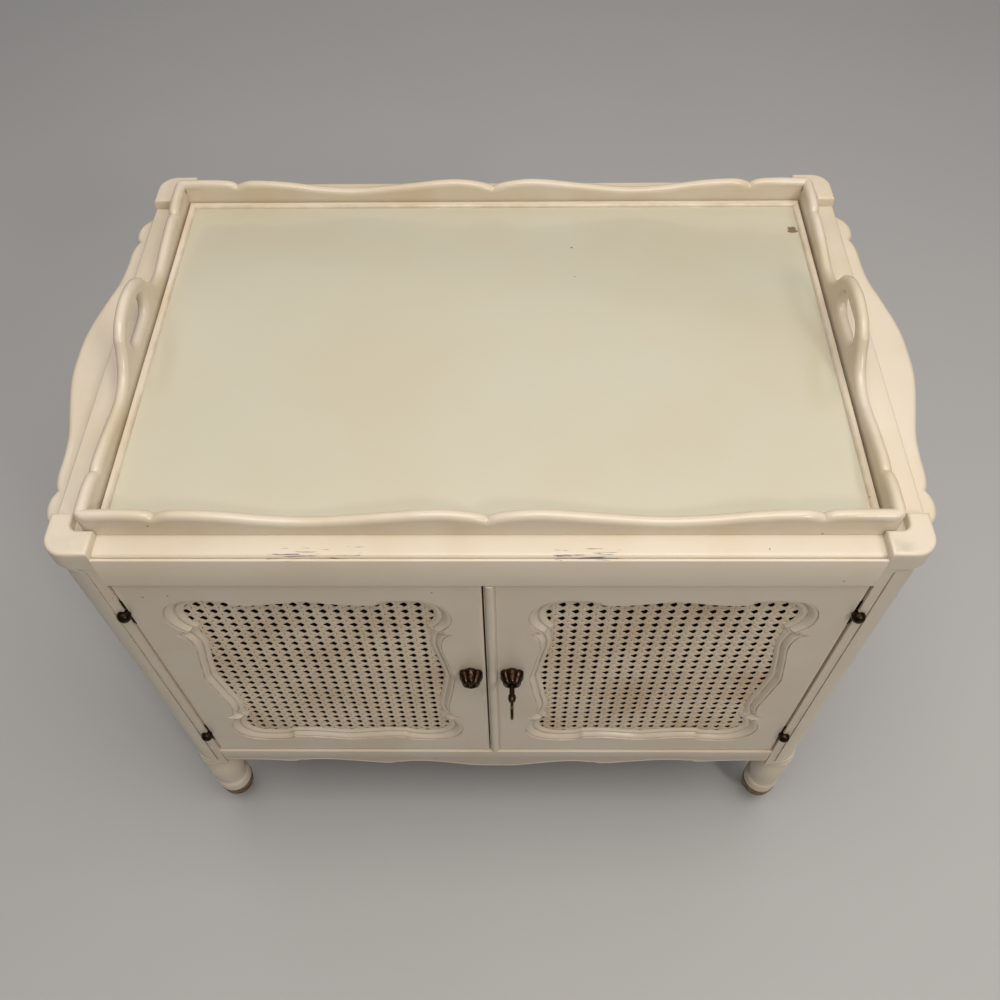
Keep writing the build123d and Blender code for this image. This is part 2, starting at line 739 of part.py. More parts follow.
case_left = right_edges[0] - case_lap
case_right = case_left + case_x
bolt_y = (door_back + case_wall, door_back + case_wall + bolt_thickness)
bolt_z = (lock_height - bolt_height / 2, lock_height + bolt_height / 2)
bolt_right = lock_x - shank_radius - bolt_key_gap
with BuildPart() as lock_case:
    case_zs = (lock_height - case_z / 2, lock_height + case_z / 2)
    block((case_left, case_right), (door_back, door_back + case_y), case_zs)
    block(
        (case_left + case_wall, case_right - case_wall),
        (door_back + case_wall, door_back + case_y - case_wall),
        (case_zs[0] + case_wall, case_zs[1] - case_wall),
        Mode.SUBTRACT,
    )
    block(
        (case_left - 1, case_left + case_wall + 1),
        (bolt_y[0], bolt_y[1] + bolt_clearance),
        (bolt_z[0] - bolt_clearance, bolt_z[1] + bolt_clearance),
        Mode.SUBTRACT,
    )
    with Locations(Location((lock_x, door_back, lock_height), (90, 0, 0))):
        Cylinder(shank_radius + key_clearance, 4 * case_wall, mode=Mode.SUBTRACT)
save(lock_case.part, "lock_case")

with BuildPart() as lock_bolt:
    block((case_left + bolt_inset, bolt_right), (bolt_y[0] + bolt_clearance, bolt_y[1]), bolt_z)
save(lock_bolt.part, "lock_bolt")

strike_right = left_edges[1] - strike_inset
strike_z = (bolt_z[0] - strike_over, bolt_z[1] + strike_over)
with BuildPart() as strike:
    block((strike_right - strike_width, strike_right), (door_back, door_back + case_y), strike_z)
    block(
        (strike_right - strike_width + strike_wall, strike_right + 1),
        (bolt_y[0] - mouth_gap, bolt_y[1] + mouth_gap),
        (bolt_z[0] - mouth_gap, bolt_z[1] + mouth_gap),
        Mode.SUBTRACT,
    )
save(strike.part, "strike")

bow_y = door_face - key_reach + bow_radius
with BuildPart() as key:
    key_end = bolt_y[1] + key_past_bolt
    shank_length = key_end - bow_y - bow_radius + blade_overlap
    with Locations(Location((lock_x, key_end, lock_height), (90, 0, 0))):
        Cylinder(shank_radius, shank_length, align=(Align.CENTER, Align.CENTER, Align.MIN))
    with Locations(Location((lock_x, door_face - collar_out, lock_height), (90, 0, 0))):
        Cylinder(shank_radius + collar_height, collar_length)
    with BuildSketch(Plane.YZ.offset(lock_x - bow_thickness / 2)):
        with Locations((bow_y, lock_height)):
            Ellipse(bow_radius, bow_stretch * bow_radius)
            Ellipse(bow_radius - bow_width, bow_stretch * bow_radius - bow_width, mode=Mode.SUBTRACT)
    extrude(amount=bow_thickness)
save(key.part, "key")

with BuildPart() as flush_bolt:
    rod_x = left_edges[1] - rod_from_edge
    with Locations((rod_x, rod_y, door_top - rod_below_top)):
        Cylinder(rod_radius, rod_length, align=(Align.CENTER, Align.CENTER, Align.MAX))
    with Locations(Location((rod_x, rod_y, thumb_z), (-90, 0, 0))):
        Cylinder(thumb_radius, rod_from_back + thumb_proud, align=(Align.CENTER, Align.CENTER, Align.MIN))
save(flush_bolt.part, "flush_bolt")


# ---- tray ----------------------------------------------------------------------------
def long_wall_top(half):
    """Top line of a long tray wall: middle cusp, two shallow dips, cusps near the ends."""
    high, low = rail_top + wall_height, rail_top + wall_dip
    gap = high - low
    with BuildLine() as top:
        cusp = (0.805 * half, high - 0.45 * gap)
        Spline((0, high - 0.8 * gap), (0.10 * half, high), (0.26 * half, high - 0.45 * gap),
               (0.43 * half, low), (0.64 * half, high - 0.28 * gap), (0.77 * half, high - 0.02 * gap),
               cusp, tangents=((1, 0.4), (0.6, -1)))
        Spline(cusp, (0.84 * half, high), (half, high), tangents=((0.6, 1), (1, 0)))
        mirror(about=Plane.YZ)
    return top.line


def end_wall_top(half):
    """Top line of an end wall: low shoulders, then a hump with cusps for the hand slot."""
    high, low, peak = rail_top + wall_height, rail_top + wall_dip, rail_top + hump_height
    with BuildLine() as top:
        Spline((0, peak), (0.068 * half, peak - 2), (0.14 * half, peak - 7), (0.20 * half, peak - 16),
               tangents=((1, 0), (0.5, -1)))
        Spline((0.20 * half, peak - 16), (0.255 * half, low + 15), (0.40 * half, low), (0.60 * half, low + 4),
               (0.79 * half, low + 5.5), tangents=((0.3, -1), (1, -0.1)))
        Spline((0.79 * half, low + 5.5), (0.83 * half, high - 1), (half, high), tangents=((0.5, 1), (1, 0)))
        mirror(about=Plane.YZ)
    return top.line


def wall_blank(half, top, length_plane):
    """Closed outline between a wall's foot and its shaped top, extruded to the wall's thickness."""
    foot = rail_top + rest_gap
    crest = rail_top + wall_height
    with BuildPart() as wall:
        with BuildSketch(length_plane):
            with BuildLine():
                add(top)
                Polyline((-half, crest), (-half, foot), (half, foot), (half, crest))
            make_face()
        extrude(amount=tray_wall)
    return wall.part


half_tray = (tray_length / 2, tray_depth / 2)
end_half = half_tray[1] - tray_wall
for end, sy in ENDS:
    with BuildPart() as long_wall:
        plane = Plane.XZ.offset(half_tray[1] - tray_wall if sy < 0 else -half_tray[1])
        add(wall_blank(half_tray[0], long_wall_top(half_tray[0]), plane))
        uprights = long_wall.edges().filter_by(Axis.Z)
        outer_face = [e for e in uprights if abs(e.center().Y - sy * half_tray[1]) < 0.01]
        fillet(outer_face, tray_round - 0.5)
    save(long_wall.part, f"tray_{end}_wall")

for side, sx in SIDES:
    with BuildPart() as end_wall:
        plane = Plane.YZ.offset(half_tray[0] - tray_wall if sx > 0 else -half_tray[0])
        add(wall_blank(end_half, end_wall_top(end_half), plane))
        with BuildSketch(plane):
            with Locations((0, rail_top + slot_centre)):
                SlotOverall(slot_length, slot_height)
        extrude(amount=tray_wall, mode=Mode.SUBTRACT)
    save(end_wall.part, f"tray_{side}_wall")

field_x = half_tray[0] - tray_wall - bead_gap - bead_width - field_gap
field_y = half_tray[1] - tray_wall - bead_gap - bead_width - field_gap
floor_x = half_tray[0] - tray_wall + tray_lip
floor_y = half_tray[1] - tray_wall + tray_lip
with BuildPart() as tray_floor_board:
    block(
        (-floor_x, floor_x),
        (-floor_y, floor_y),
        (recess_top + rest_gap, rail_top + rest_gap),
    )
    field_z = (rail_top, rail_top + rest_gap + field_rise)
    block((-field_x, field_x), (-field_y, field_y), field_z)
    for sy in (-1, 1):
        for sx in (-1, 1):
            block(
                (sx * (inner_w - floor_gap), sx * half_w),
                (sy * (inner_d - floor_gap), sy * half_d),
                (recess_top, rail_top + 1),
                Mode.SUBTRACT,
            )
save(tray_floor_board.part, "tray_floor")

with BuildPart() as tray_bead:
    bead_x = half_tray[0] - tray_wall - bead_gap
    bead_y = half_tray[1] - tray_wall - bead_gap
    with BuildSketch(Plane.XY.offset(rail_top + rest_gap)):
        Rectangle(2 * bead_x, 2 * bead_y)
        Rectangle(2 * (bead_x - bead_width), 2 * (bead_y - bead_width), mode=Mode.SUBTRACT)
    extrude(amount=bead_height)
save(tray_bead.part, "tray_bead")
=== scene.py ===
# %% [markdown]
# # A painted serving cabinet with a gallery tray
# This lesson dresses the working model of a small cream cabinet: a lift-off
# tray with scalloped walls, two doors with woven cane, corner posts, turned
# feet and brass casters. The working model already has every size, so each
# piece below reads its place from there and adds the shape a joiner's tools
# would leave.

# %% Load the working model
import math

import bmesh
import bpy
import numpy as np
from mathutils import Matrix, Vector
from mathutils.geometry import tessellate_polygon


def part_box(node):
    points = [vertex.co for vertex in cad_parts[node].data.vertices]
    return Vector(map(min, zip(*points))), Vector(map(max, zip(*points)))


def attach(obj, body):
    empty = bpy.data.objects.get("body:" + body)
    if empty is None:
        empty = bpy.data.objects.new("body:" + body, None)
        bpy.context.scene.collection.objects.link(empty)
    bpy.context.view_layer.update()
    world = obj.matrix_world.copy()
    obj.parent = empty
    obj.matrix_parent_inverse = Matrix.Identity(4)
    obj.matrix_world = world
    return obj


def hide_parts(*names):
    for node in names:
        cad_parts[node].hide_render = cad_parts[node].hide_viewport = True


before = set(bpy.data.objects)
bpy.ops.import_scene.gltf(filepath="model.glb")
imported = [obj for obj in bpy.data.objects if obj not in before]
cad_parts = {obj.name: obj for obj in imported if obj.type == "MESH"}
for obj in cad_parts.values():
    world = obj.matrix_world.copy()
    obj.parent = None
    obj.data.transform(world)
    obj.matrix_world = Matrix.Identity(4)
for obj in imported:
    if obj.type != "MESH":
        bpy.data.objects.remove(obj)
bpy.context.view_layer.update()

MM = 0.001

# %% [markdown]
# ## Sizes that the whole cabinet shares
# A maker works from a rod: one board with the main lines marked on it. These
# few lines do the same job. They come from the boxes of the model's nodes.

# %% The rod
post_low, post_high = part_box("front_left_post")
far_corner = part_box("back_right_post")[1]
half_width = far_corner.x
mid_y = (post_low.y + far_corner.y) / 2
half_depth = (far_corner.y - post_low.y) / 2
post_in_y = half_depth - (post_high.y - post_low.y)
rail_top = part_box("front_frieze")[1].z
door_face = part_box("left_door_top_rail")[0].y
door_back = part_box("left_door_top_rail")[1].y
SIDES = (("left", -1), ("right", 1))
CORNERS = [(f"{end}_{side}", sx, sy) for end, sy in (("front", -1), ("back", 1)) for side, sx in SIDES]
QUADRANTS = ((1, 1), (-1, 1), (-1, -1), (1, -1))
print("case", 2 * half_width, "x", 2 * half_depth, "rail top", rail_top)

# %% [markdown]
# ## Helpers for drawing outlines
# Scalloped edges are smooth runs that meet in small points, called cusps. Each
# run is a short list of points with a smooth line through them, and the cusps
# are simply where one run stops and the next begins.

# %% Smooth runs and mirrored outlines
def run(points, count):
    """A smooth line through a few points, as count + 1 rows of an array."""
    p = np.array(points, float)
    if len(p) == 2:
        share = np.linspace(0, 1, count + 1)[:, None]
        return p[0] + share * (p[1] - p[0])
    steps = np.r_[0, np.cumsum(np.sqrt(np.linalg.norm(np.diff(p, axis=0), axis=1)))]
    slopes = np.zeros_like(p)
    left = (p[1:-1] - p[:-2]) / np.diff(steps)[:-1, None]
    right = (p[2:] - p[1:-1]) / np.diff(steps)[1:, None]
    w = (np.diff(steps)[1:] / (steps[2:] - steps[:-2]))[:, None]
    slopes[1:-1] = left * w + right * (1 - w)
    slopes[0] = 1.5 * left[0] - 0.5 * slopes[1]
    slopes[-1] = 1.5 * right[-1] - 0.5 * slopes[-2]
    at = np.linspace(0, steps[-1], count + 1)
    k = np.clip(np.searchsorted(steps, at, side="right") - 1, 0, len(p) - 2)
    gap = np.diff(steps)[k][:, None]
    t = ((at - steps[k])[:, None]) / gap
    return ((2 * t**3 - 3 * t**2 + 1) * p[k] + (t**3 - 2 * t**2 + t) * gap * slopes[k]
            + (3 * t**2 - 2 * t**3) * p[k + 1] + (t**3 - t**2) * gap * slopes[k + 1])


def mirrored_line(runs, counts):
    """Runs drawn from the middle outwards, mirrored so that the line goes from -u to +u."""
    first = runs[0]
    whole = [(-u, v) for u, v in first[:0:-1]] + list(first)
    middle = run(whole, 2 * counts[0])
    sides = [run(r, c)[1:] for r, c in zip(runs[1:], counts[1:])]
    right = np.concatenate(sides) if sides else np.zeros((0, 2))
    left = right[::-1] * (-1, 1)
    return np.concatenate([left, middle, right])


def inset(loop, distance, limit=0.6):
    """The same closed loop moved inwards by a distance, whichever way round it runs."""
    p = np.asarray(loop, float)
    following = np.roll(p, -1, 0)
    way_round = np.sign((p[:, 0] * following[:, 1] - following[:, 0] * p[:, 1]).sum())
    before, after = p - np.roll(p, 1, 0), np.roll(p, -1, 0) - p
    before /= np.linalg.norm(before, axis=1)[:, None] + 1e-12
    after /= np.linalg.norm(after, axis=1)[:, None] + 1e-12
    turn_a = np.c_[-before[:, 1], before[:, 0]]
    turn_b = np.c_[-after[:, 1], after[:, 0]]
    middle = turn_a + turn_b
    middle /= np.linalg.norm(middle, axis=1)[:, None] + 1e-12
    reach = 1 / np.maximum((middle * turn_a).sum(1), limit)
    return p + way_round * middle * (np.reshape(distance, (-1, 1)) * reach[:, None])


def quarter(radius, steps=4):
    """(inset, depth) pairs that round an edge over, from the side face to the flat face."""
    turn = np.linspace(0, math.pi / 2, steps + 1)
    return [(radius * (1 - math.cos(a)), radius * (1 - math.sin(a))) for a in turn]

# %% [markdown]
# ## Helpers for skinning
# Nearly every wooden piece here can be made as a stack of closed rings, joined
# by strips of faces and closed by a flat plate at each end. That is how a
# moulding plane thinks too: a profile run along an edge.

# %% A shape under construction
class Shape:
    """Vertices and faces that are gathered before they become one mesh."""

    def __init__(self):
        self.points, self.faces = [], []

    def ring(self, points):
        """Adds points and gives their numbers."""
        start = len(self.points)
        self.points.extend(tuple(map(float, p)) for p in points)
        return list(range(start, len(self.points)))

    def join(self, a, b):
        """A closed strip of faces between two rings."""
        for i in range(len(a)):
            j = (i + 1) % len(a)
            self.faces.append((a[i], a[j], b[j], b[i]))

    def stack(self, rings):
        """Rings joined one to the next."""
        made = [self.ring(r) for r in rings]
        for a, b in zip(made, made[1:]):
            self.join(a, b)
        return made

    def plate(self, outer, holes=(), axes=(0, 1)):
        """Flat plate between an outer ring and its holes, seen along the third axis."""
        loops = [outer, *holes]
        u, v = axes
        flat = [[Vector((self.points[i][u], self.points[i][v], 0)) for i in loop] for loop in loops]
        names = [i for loop in loops for i in loop]
        for tri in tessellate_polygon(flat):
            self.faces.append(tuple(names[k] for k in tri))

    def ends(self, made, axes=(0, 1)):
        """Closes the first and the last ring of a stack with flat plates."""
        self.plate(made[0], axes=axes)
        self.plate(made[-1], axes=axes)

    def caps(self, made):
        """Closes both ends of a stack with one face each."""
        self.faces += [tuple(made[0]), tuple(made[-1])]

    def lathe(self, profile, centre, steps, axis=2, hollow=False):
        """Turned shape: (radius, height) pairs spun about an axis through centre."""
        u, v = [k for k in range(3) if k != axis]
        turn = np.linspace(0, 2 * math.pi, steps + 1)[:-1]
        rings = []
        for radius, height in profile:
            ring = np.tile(np.array(centre, float), (steps, 1))
            ring[:, axis] += height
            ring[:, u] += radius * np.cos(turn)
            ring[:, v] += radius * np.sin(turn)
            rings.append(ring)
        made = self.stack(rings)
        if hollow:
            self.join(made[-1], made[0])
        else:
            self.caps(made)


SHARP_TURN, FLAT_BEND = 0.6, 0.45


def mark_edges(data):
    """Writes how sharply each vertex's corner stands out or sinks in, for the wear in the paint."""
    work = bmesh.new()
    work.from_mesh(data)
    out, hollow = np.zeros(len(work.verts)), np.zeros(len(work.verts))
    for e in work.edges:
        if len(e.link_faces) != 2:
            continue
        turn = e.calc_face_angle_signed(0)
        span = max(e.calc_length(), 1e-5)
        across = 0.5 * (e.link_faces[0].calc_area() + e.link_faces[1].calc_area()) / span
        bend = min(1.0, abs(turn) / max(across / MM, 0.6) / FLAT_BEND)
        if abs(turn) > SHARP_TURN:
            bend = 1.0
        kind = out if turn > 0 else hollow
        for v in e.verts:
            kind[v.index] = max(kind[v.index], bend)
    work.free()
    for name, value in (("worn_edge", out), ("hollow", hollow)):
        mark = data.attributes.new(name, "FLOAT", "POINT")
        mark.data.foreach_set("value", value.astype(np.float32))


def linked(name, data):
    """A new object in the scene."""
    made = bpy.data.objects.new(name, data)
    bpy.context.scene.collection.objects.link(made)
    return made


def finish_piece(shape, name, body, nodes, finish, angle=38, marks=True):
    """Turns a shape, or a plain mesh, into a finished piece that rides on its body."""
    data = shape
    if isinstance(shape, Shape):
        data = bpy.data.meshes.new(name)
        data.from_pydata(shape.points, [], shape.faces)
    work = bmesh.new()
    work.from_mesh(data)
    bmesh.ops.remove_doubles(work, verts=work.verts, dist=1e-6)
    bmesh.ops.dissolve_degenerate(work, edges=work.edges, dist=1e-7)
    bmesh.ops.recalc_face_normals(work, faces=work.faces)
    for f in work.faces:
        f.smooth = True
    work.to_mesh(data)
    work.free()
    data.set_sharp_from_angle(angle=math.radians(angle))
    if marks:
        mark_edges(data)
    piece = linked(name, data)
    data.materials.clear()
    data.materials.append(finish)
    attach(piece, body)
    if nodes:
        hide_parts(*nodes)
    print(f"{name}: {len(data.polygons)} faces")
    return piece


EDGE_STEPS = 3


def box_shape(shape, low, high, rounding, axis=2):
    """A board between two corners with all its edges eased, added to a shape."""
    lo, hi = Vector(low), Vector(high)
    u, v = [k for k in range(3) if k != axis]
    middle, half = (lo + hi) / 2, (hi - lo) / 2
    r = min(rounding, 0.45 * half[u], 0.45 * half[v], 0.9 * half[axis])

    def ring(shrink, level):
        rr = max(r - shrink, 0.05 * r)
        points = []
        for q, (su, sv) in enumerate(QUADRANTS):
            for k in range(EDGE_STEPS + 1):
                a = (q + k / EDGE_STEPS) * math.pi / 2
                p = [level, level, level]
                p[u] = middle[u] + su * (half[u] - shrink - rr) + rr * math.cos(a)
                p[v] = middle[v] + sv * (half[v] - shrink - rr) + rr * math.sin(a)
                points.append(p)
        return points

    turn = [(shrink, up) for up, shrink in quarter(r, EDGE_STEPS)]
    rings = [ring(shrink, lo[axis] + up) for shrink, up in turn]
    rings += [ring(shrink, hi[axis] - up) for shrink, up in turn[::-1]]
    shape.caps(shape.stack(rings))


# %% [markdown]
# ## Finishes
# The cabinet is brush-painted in cream over a grey undercoat. The brush leaves
# fine ridges along each board, the paint is thin on sharp edges, where the
# undercoat and a little wood show, and old polish and dust stay in the
# hollows. All of it is made from noise on the object's own coordinates, plus
# two numbers that every wooden mesh carries: how sharp and how hollow it is.

# %% A small kit for node trees
class Result:
    """What a node gives. Plain arithmetic on it adds maths nodes to the same tree."""

    def __init__(self, kit, socket):
        self.kit, self.socket = kit, socket

    def other(self, output):
        """Another output of the same node."""
        return Result(self.kit, self.socket.node.outputs[output])

    def split(self):
        """The x, y and z of a place."""
        parts = self.kit.node("ShaderNodeSeparateXYZ", {0: self})
        return [parts.other(k) for k in range(3)]

    def __add__(self, other):
        return self.kit.maths("ADD", self, other)

    def __sub__(self, other):
        return self.kit.maths("SUBTRACT", self, other)

    def __rsub__(self, other):
        return self.kit.maths("SUBTRACT", other, self)

    def __mul__(self, other):
        return self.kit.maths("MULTIPLY", self, other)

    def __truediv__(self, other):
        return self.kit.maths("DIVIDE", self, other)

    def __lt__(self, other):
        return self.kit.maths("LESS_THAN", self, other)

    def __gt__(self, other):
        return self.kit.maths("GREATER_THAN", self, other)


class Kit:
    """A node tree with short ways to add to it."""

    def __init__(self, tree):
        self.tree = tree

    def feed(self, made, inputs):
        """Joins or sets the inputs of a node."""
        for key, value in inputs.items():
            if isinstance(value, Result):
                self.tree.links.new(value.socket, made.inputs[key])
            else:
                made.inputs[key].default_value = value

    def node(self, kind, inputs=None, output=0, **settings):
        """Adds a node, sets its options, feeds it, and gives one of its outputs."""
        made = self.tree.nodes.new(kind)
        for key, value in settings.items():
            setattr(made, key, value)
        self.feed(made, inputs or {})
        return Result(self, made.outputs[output])

    def maths(self, what, a, b=0.0):
        return self.node("ShaderNodeMath", {0: a, 1: b}, operation=what)

    def vector(self, x=0.0, y=0.0, z=0.0):
        return self.node("ShaderNodeCombineXYZ", {0: x, 1: y, 2: z})

    def smooth(self, value, low, high):
        """0 below low, 1 above high, and smooth between."""
        return self.node("ShaderNodeMapRange", {"Value": value, "From Min": low, "From Max": high},
                         interpolation_type="SMOOTHSTEP")

    def mix(self, share, a, b):
        """A colour that is a where the share is 0 and b where it is 1."""
        return self.node("ShaderNodeMix", {0: share, 6: a, 7: b}, output=2, data_type="RGBA")


class Finish(Kit):
    """A material being built: its surface, and the object's own coordinates."""

    def __init__(self, name):
        self.material = bpy.data.materials.new(name)
        self.material.use_nodes = True
        super().__init__(self.material.node_tree)
        self.tree.nodes.clear()
        out = self.tree.nodes.new("ShaderNodeOutputMaterial")
        self.surface = self.tree.nodes.new("ShaderNodeBsdfPrincipled")
        self.tree.links.new(self.surface.outputs[0], out.inputs[0])
        self.place = self.node("ShaderNodeTexCoord", output="Object")

    def marked(self, name):
        """A number that the mesh carries."""
        return self.node("ShaderNodeAttribute", output="Fac", attribute_name=name)

    def noise(self, size, stretch=(1, 1, 1), detail=4.0, rough=0.55, seed=0.0):
        """Noise whose features are about size metres, stretched along an axis."""
        scaled = self.node("ShaderNodeMapping", {
            "Vector": self.place, "Location": (seed, seed * 0.7, seed * 1.3),
            "Scale": tuple(s / size for s in stretch)})
        return self.node("ShaderNodeTexNoise", {
            "Vector": scaled, "Scale": 1.0, "Detail": detail, "Roughness": rough}, output="Fac")

    def specks(self, crowd, channel, size, bare):
        """1 inside stray dots: crowd cells to a metre, of which the share called bare stay empty."""
        scaled = self.node("ShaderNodeMapping", {"Vector": self.place, "Scale": (crowd, crowd, crowd)})
        cells = self.node("ShaderNodeTexVoronoi", {"Vector": scaled, "Scale": 1.0}, output="Color")
        chance = self.node("ShaderNodeSeparateColor", {0: cells}, output=channel)
        return (cells.other("Distance") < chance * size) * (chance > bare)

    def cover(self, **inputs):
        """Feeds the surface. Roughness or Coat_Weight: an underscore stands for a space."""
        self.feed(self.surface, {key.replace("_", " "): value for key, value in inputs.items()})

    def relief(self, height, strength, distance):
        bump = self.node("ShaderNodeBump", {"Height": height, "Strength": strength, "Distance": distance})
        self.cover(Normal=bump)

# %% Brushed cream paint
CREAM = (0.770, 0.680, 0.550, 1)
CREAM_WARM = (0.735, 0.630, 0.475, 1)
UNDERCOAT = (0.235, 0.215, 0.215, 1)
BARE_WOOD = (0.240, 0.130, 0.060, 1)
GRIME = (0.165, 0.115, 0.065, 1)
BRUSH_STRETCH = 0.035


def scuffed(kit, low, high, strength):
    """1 in ragged streaks inside a box."""
    shown = kit.noise(0.0016, (0.06, 1, 1), rough=0.6, seed=9.0)
    for at, start, end in zip(kit.place.split(), low, high):
        fade = 0.12 * (end - start) + 0.0005
        shown = shown * kit.smooth(at, start - fade, start + fade)
        shown = shown * (1.0 - kit.smooth(at, end - fade, end + fade))
    return kit.smooth(shown, strength, strength + 0.04)


def paint(name, along, colour=CREAM, warm=CREAM_WARM, gloss=0.36, wear=1.0, grime=0.32, spots=()):
    """Brushed paint with ridges along one axis, thin edges, specks and scuffed places."""
    kit = Finish(name)
    stretch = [1.0, 1.0, 1.0]
    stretch[along] = BRUSH_STRETCH
    ridges = kit.noise(0.0011, stretch, detail=5.0, rough=0.6)
    coarse = kit.noise(0.0055, stretch, detail=2.0, rough=0.5, seed=3.1)
    cloud = kit.noise(0.085, detail=3.0, rough=0.5, seed=7.7)
    patch = kit.noise(0.0032, rough=0.62, seed=1.9)
    sweep = kit.noise(0.05, detail=2.0, rough=0.5, seed=5.3)
    soft = kit.noise(0.02, detail=3.0, rough=0.5, seed=2.9)
    base = kit.mix(kit.smooth(cloud, 0.35, 0.72), colour, warm)
    base = kit.mix(kit.smooth(coarse, 0.45, 0.75) * 0.10, base, warm)
    base = kit.mix(kit.marked("hollow") * kit.smooth(soft, 0.30, 0.70) * grime, base, GRIME)
    rubbed = kit.marked("worn_edge") * kit.smooth(sweep, 0.55, 0.72)
    thin = patch - (0.90 - rubbed * (0.26 * wear))
    chips = kit.smooth(thin, 0.0, 0.02)
    for low, high, strength in spots:
        chips = kit.maths("MAXIMUM", chips, scuffed(kit, low, high, strength))
    base = kit.mix(chips, base, UNDERCOAT)
    base = kit.mix(kit.smooth(thin, 0.03, 0.06), base, BARE_WOOD)
    base = kit.mix(kit.specks(42.0, 0, 0.05, 0.80) * 0.75, base, GRIME)
    kit.cover(Base_Color=base, Roughness=cloud * 0.16 + (gloss - 0.08) + chips * 0.3, Coat_Weight=0.12,
              Coat_Roughness=0.25)
    kit.relief(ridges * 0.30 + coarse * 0.30 - chips * 0.55, 0.55, 0.00018)
    return kit.material


def scuff_box(x0, x1):
    """A strip along the frieze's front edge."""
    return (x0, post_low.y - 0.001, rail_top - 0.006), (x1, post_low.y + 0.016, rail_top + 0.001)


frieze_scuffs = [(*scuff_box(-0.195, -0.095), 0.56), (*scuff_box(0.050, 0.118), 0.54)]
paint_x = paint("cream paint brushed sideways", 0, spots=frieze_scuffs)
paint_y = paint("cream paint brushed front to back", 1)
paint_z = paint("cream paint brushed up and down", 2)
carved = paint("cream paint in carving", 2, grime=0.5, wear=0.8)
tray_paint = paint("cream paint on the gallery", 0, wear=0.9, gloss=0.22, grime=0.2,
                   warm=(0.715, 0.600, 0.430, 1))
# Painted shade: the inside of the case is near black, standing in for the shade seen through the cane holes.
inside = paint("dark stain inside the case", 0, wear=0.0, gloss=0.55, colour=(0.030, 0.020, 0.014, 1),
               warm=(0.045, 0.028, 0.018, 1))
cane_paint = paint("cream paint on cane", 2, wear=0.0, gloss=0.5, colour=(0.80, 0.68, 0.52, 1), grime=0.35,
                   warm=(0.66, 0.50, 0.34, 1))
print("paints made")

# %% [markdown]
# The tray's floor is a smooth board with a hard, slightly green gloss. It shows
# hardly any brush marks, only soft clouding, fine rub marks and stray specks.

# %% Gloss paint, brass, steel and rubber
GAP_SHADE = (0.020, 0.013, 0.008, 1)


def gloss_floor(name, chip_at, field_low, field_high):
    """Hard gloss with one chip, and painted shade, near black, outside the field that the bead frames, for
    the gap between the bead and the walls.
    """
    kit = Finish(name)
    cloud = kit.noise(0.16, detail=3.0, seed=2.2)
    rub = kit.noise(0.004, (0.12, 1, 1), detail=5.0, rough=0.65, seed=4.1)
    base = kit.mix(kit.smooth(cloud, 0.3, 0.75), (0.610, 0.580, 0.455, 1), (0.600, 0.555, 0.415, 1))
    base = kit.mix(kit.specks(24.0, 1, 0.034, 0.84) * 0.8, base, GRIME)
    gap = kit.node("ShaderNodeVectorMath", {0: kit.place, 1: chip_at}, output="Value", operation="DISTANCE")
    chip = 1.0 - kit.smooth(gap + kit.noise(0.004, seed=6.0) * 0.008, 0.0085, 0.0095)
    base = kit.mix(chip, base, (0.20, 0.14, 0.08, 1))
    # Painted shade: outside the bead's field the floor is near black, standing in for the shade in the gap
    # under the walls.
    for at, low, high in list(zip(kit.place.split(), field_low, field_high))[:2]:
        base = kit.mix(kit.maths("MAXIMUM", at < low, at > high), base, GAP_SHADE)
    kit.cover(Base_Color=base, Roughness=rub * 0.10 + 0.17 + chip * 0.4, Coat_Weight=0.35,
              Coat_Roughness=0.10)
    kit.relief(kit.noise(0.03, detail=2.0, seed=8.0) - chip, 0.12, 0.0004)
    return kit.material


def metal(name, bright, dark, rough, amount=0.6):
    """Metal that is dark in its hollows and rubbed bright on its edges."""
    kit = Finish(name)
    blotch = kit.noise(0.004, detail=5.0, rough=0.6)
    tarnish = kit.maths("MAXIMUM", kit.smooth(blotch, 0.30, 0.62) * amount, kit.marked("hollow"))
    share = kit.node("ShaderNodeClamp", {"Value": tarnish - kit.marked("worn_edge") * 0.45})
    kit.cover(Base_Color=kit.mix(share, bright, dark), Roughness=share * 0.25 + rough, Metallic=0.92)
    kit.relief(blotch, 0.25, 0.00015)
    return kit.material


def rubber(name):
    """Black rubber with dust on it."""
    kit = Finish(name)
    dust = kit.noise(0.006, detail=5.0)
    dusty = kit.mix(kit.smooth(dust, 0.4, 0.75), (0.018, 0.018, 0.020, 1), (0.075, 0.070, 0.065, 1))
    kit.cover(Base_Color=dusty, Roughness=0.62)
    kit.relief(dust, 0.3, 0.0002)
    return kit.material


floor_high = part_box("tray_floor")[1]
chip_place = (floor_high.x - 0.020, floor_high.y - 0.052, floor_high.z)
tray_gloss = gloss_floor("gloss paint on the tray floor", chip_place, *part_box("tray_bead"))
old_brass = metal("old brass", (0.075, 0.042, 0.024, 1), (0.011, 0.006, 0.004, 1), 0.24, amount=1.0)
caster_brass = metal("caster brass", (0.34, 0.20, 0.07, 1), (0.06, 0.034, 0.015, 1), 0.30, amount=0.85)
lock_steel = metal("lock steel", (0.42, 0.41, 0.40, 1), (0.16, 0.13, 0.11, 1), 0.35)
tyre = rubber("caster tyre")
print("metals made")

# %% [markdown]
# ## Corner posts
# Each post is one square of timber with its outer corner rounded over. Two
# fine grooves, called quirks, run beside the rounding. Near the top and at
# the foot the rounding stops and the corner swells back to a squarer block.
# The block also stands above the rails, with a notch that keeps the tray from
# sliding. The whole post is a stack of rings whose corner radius changes.

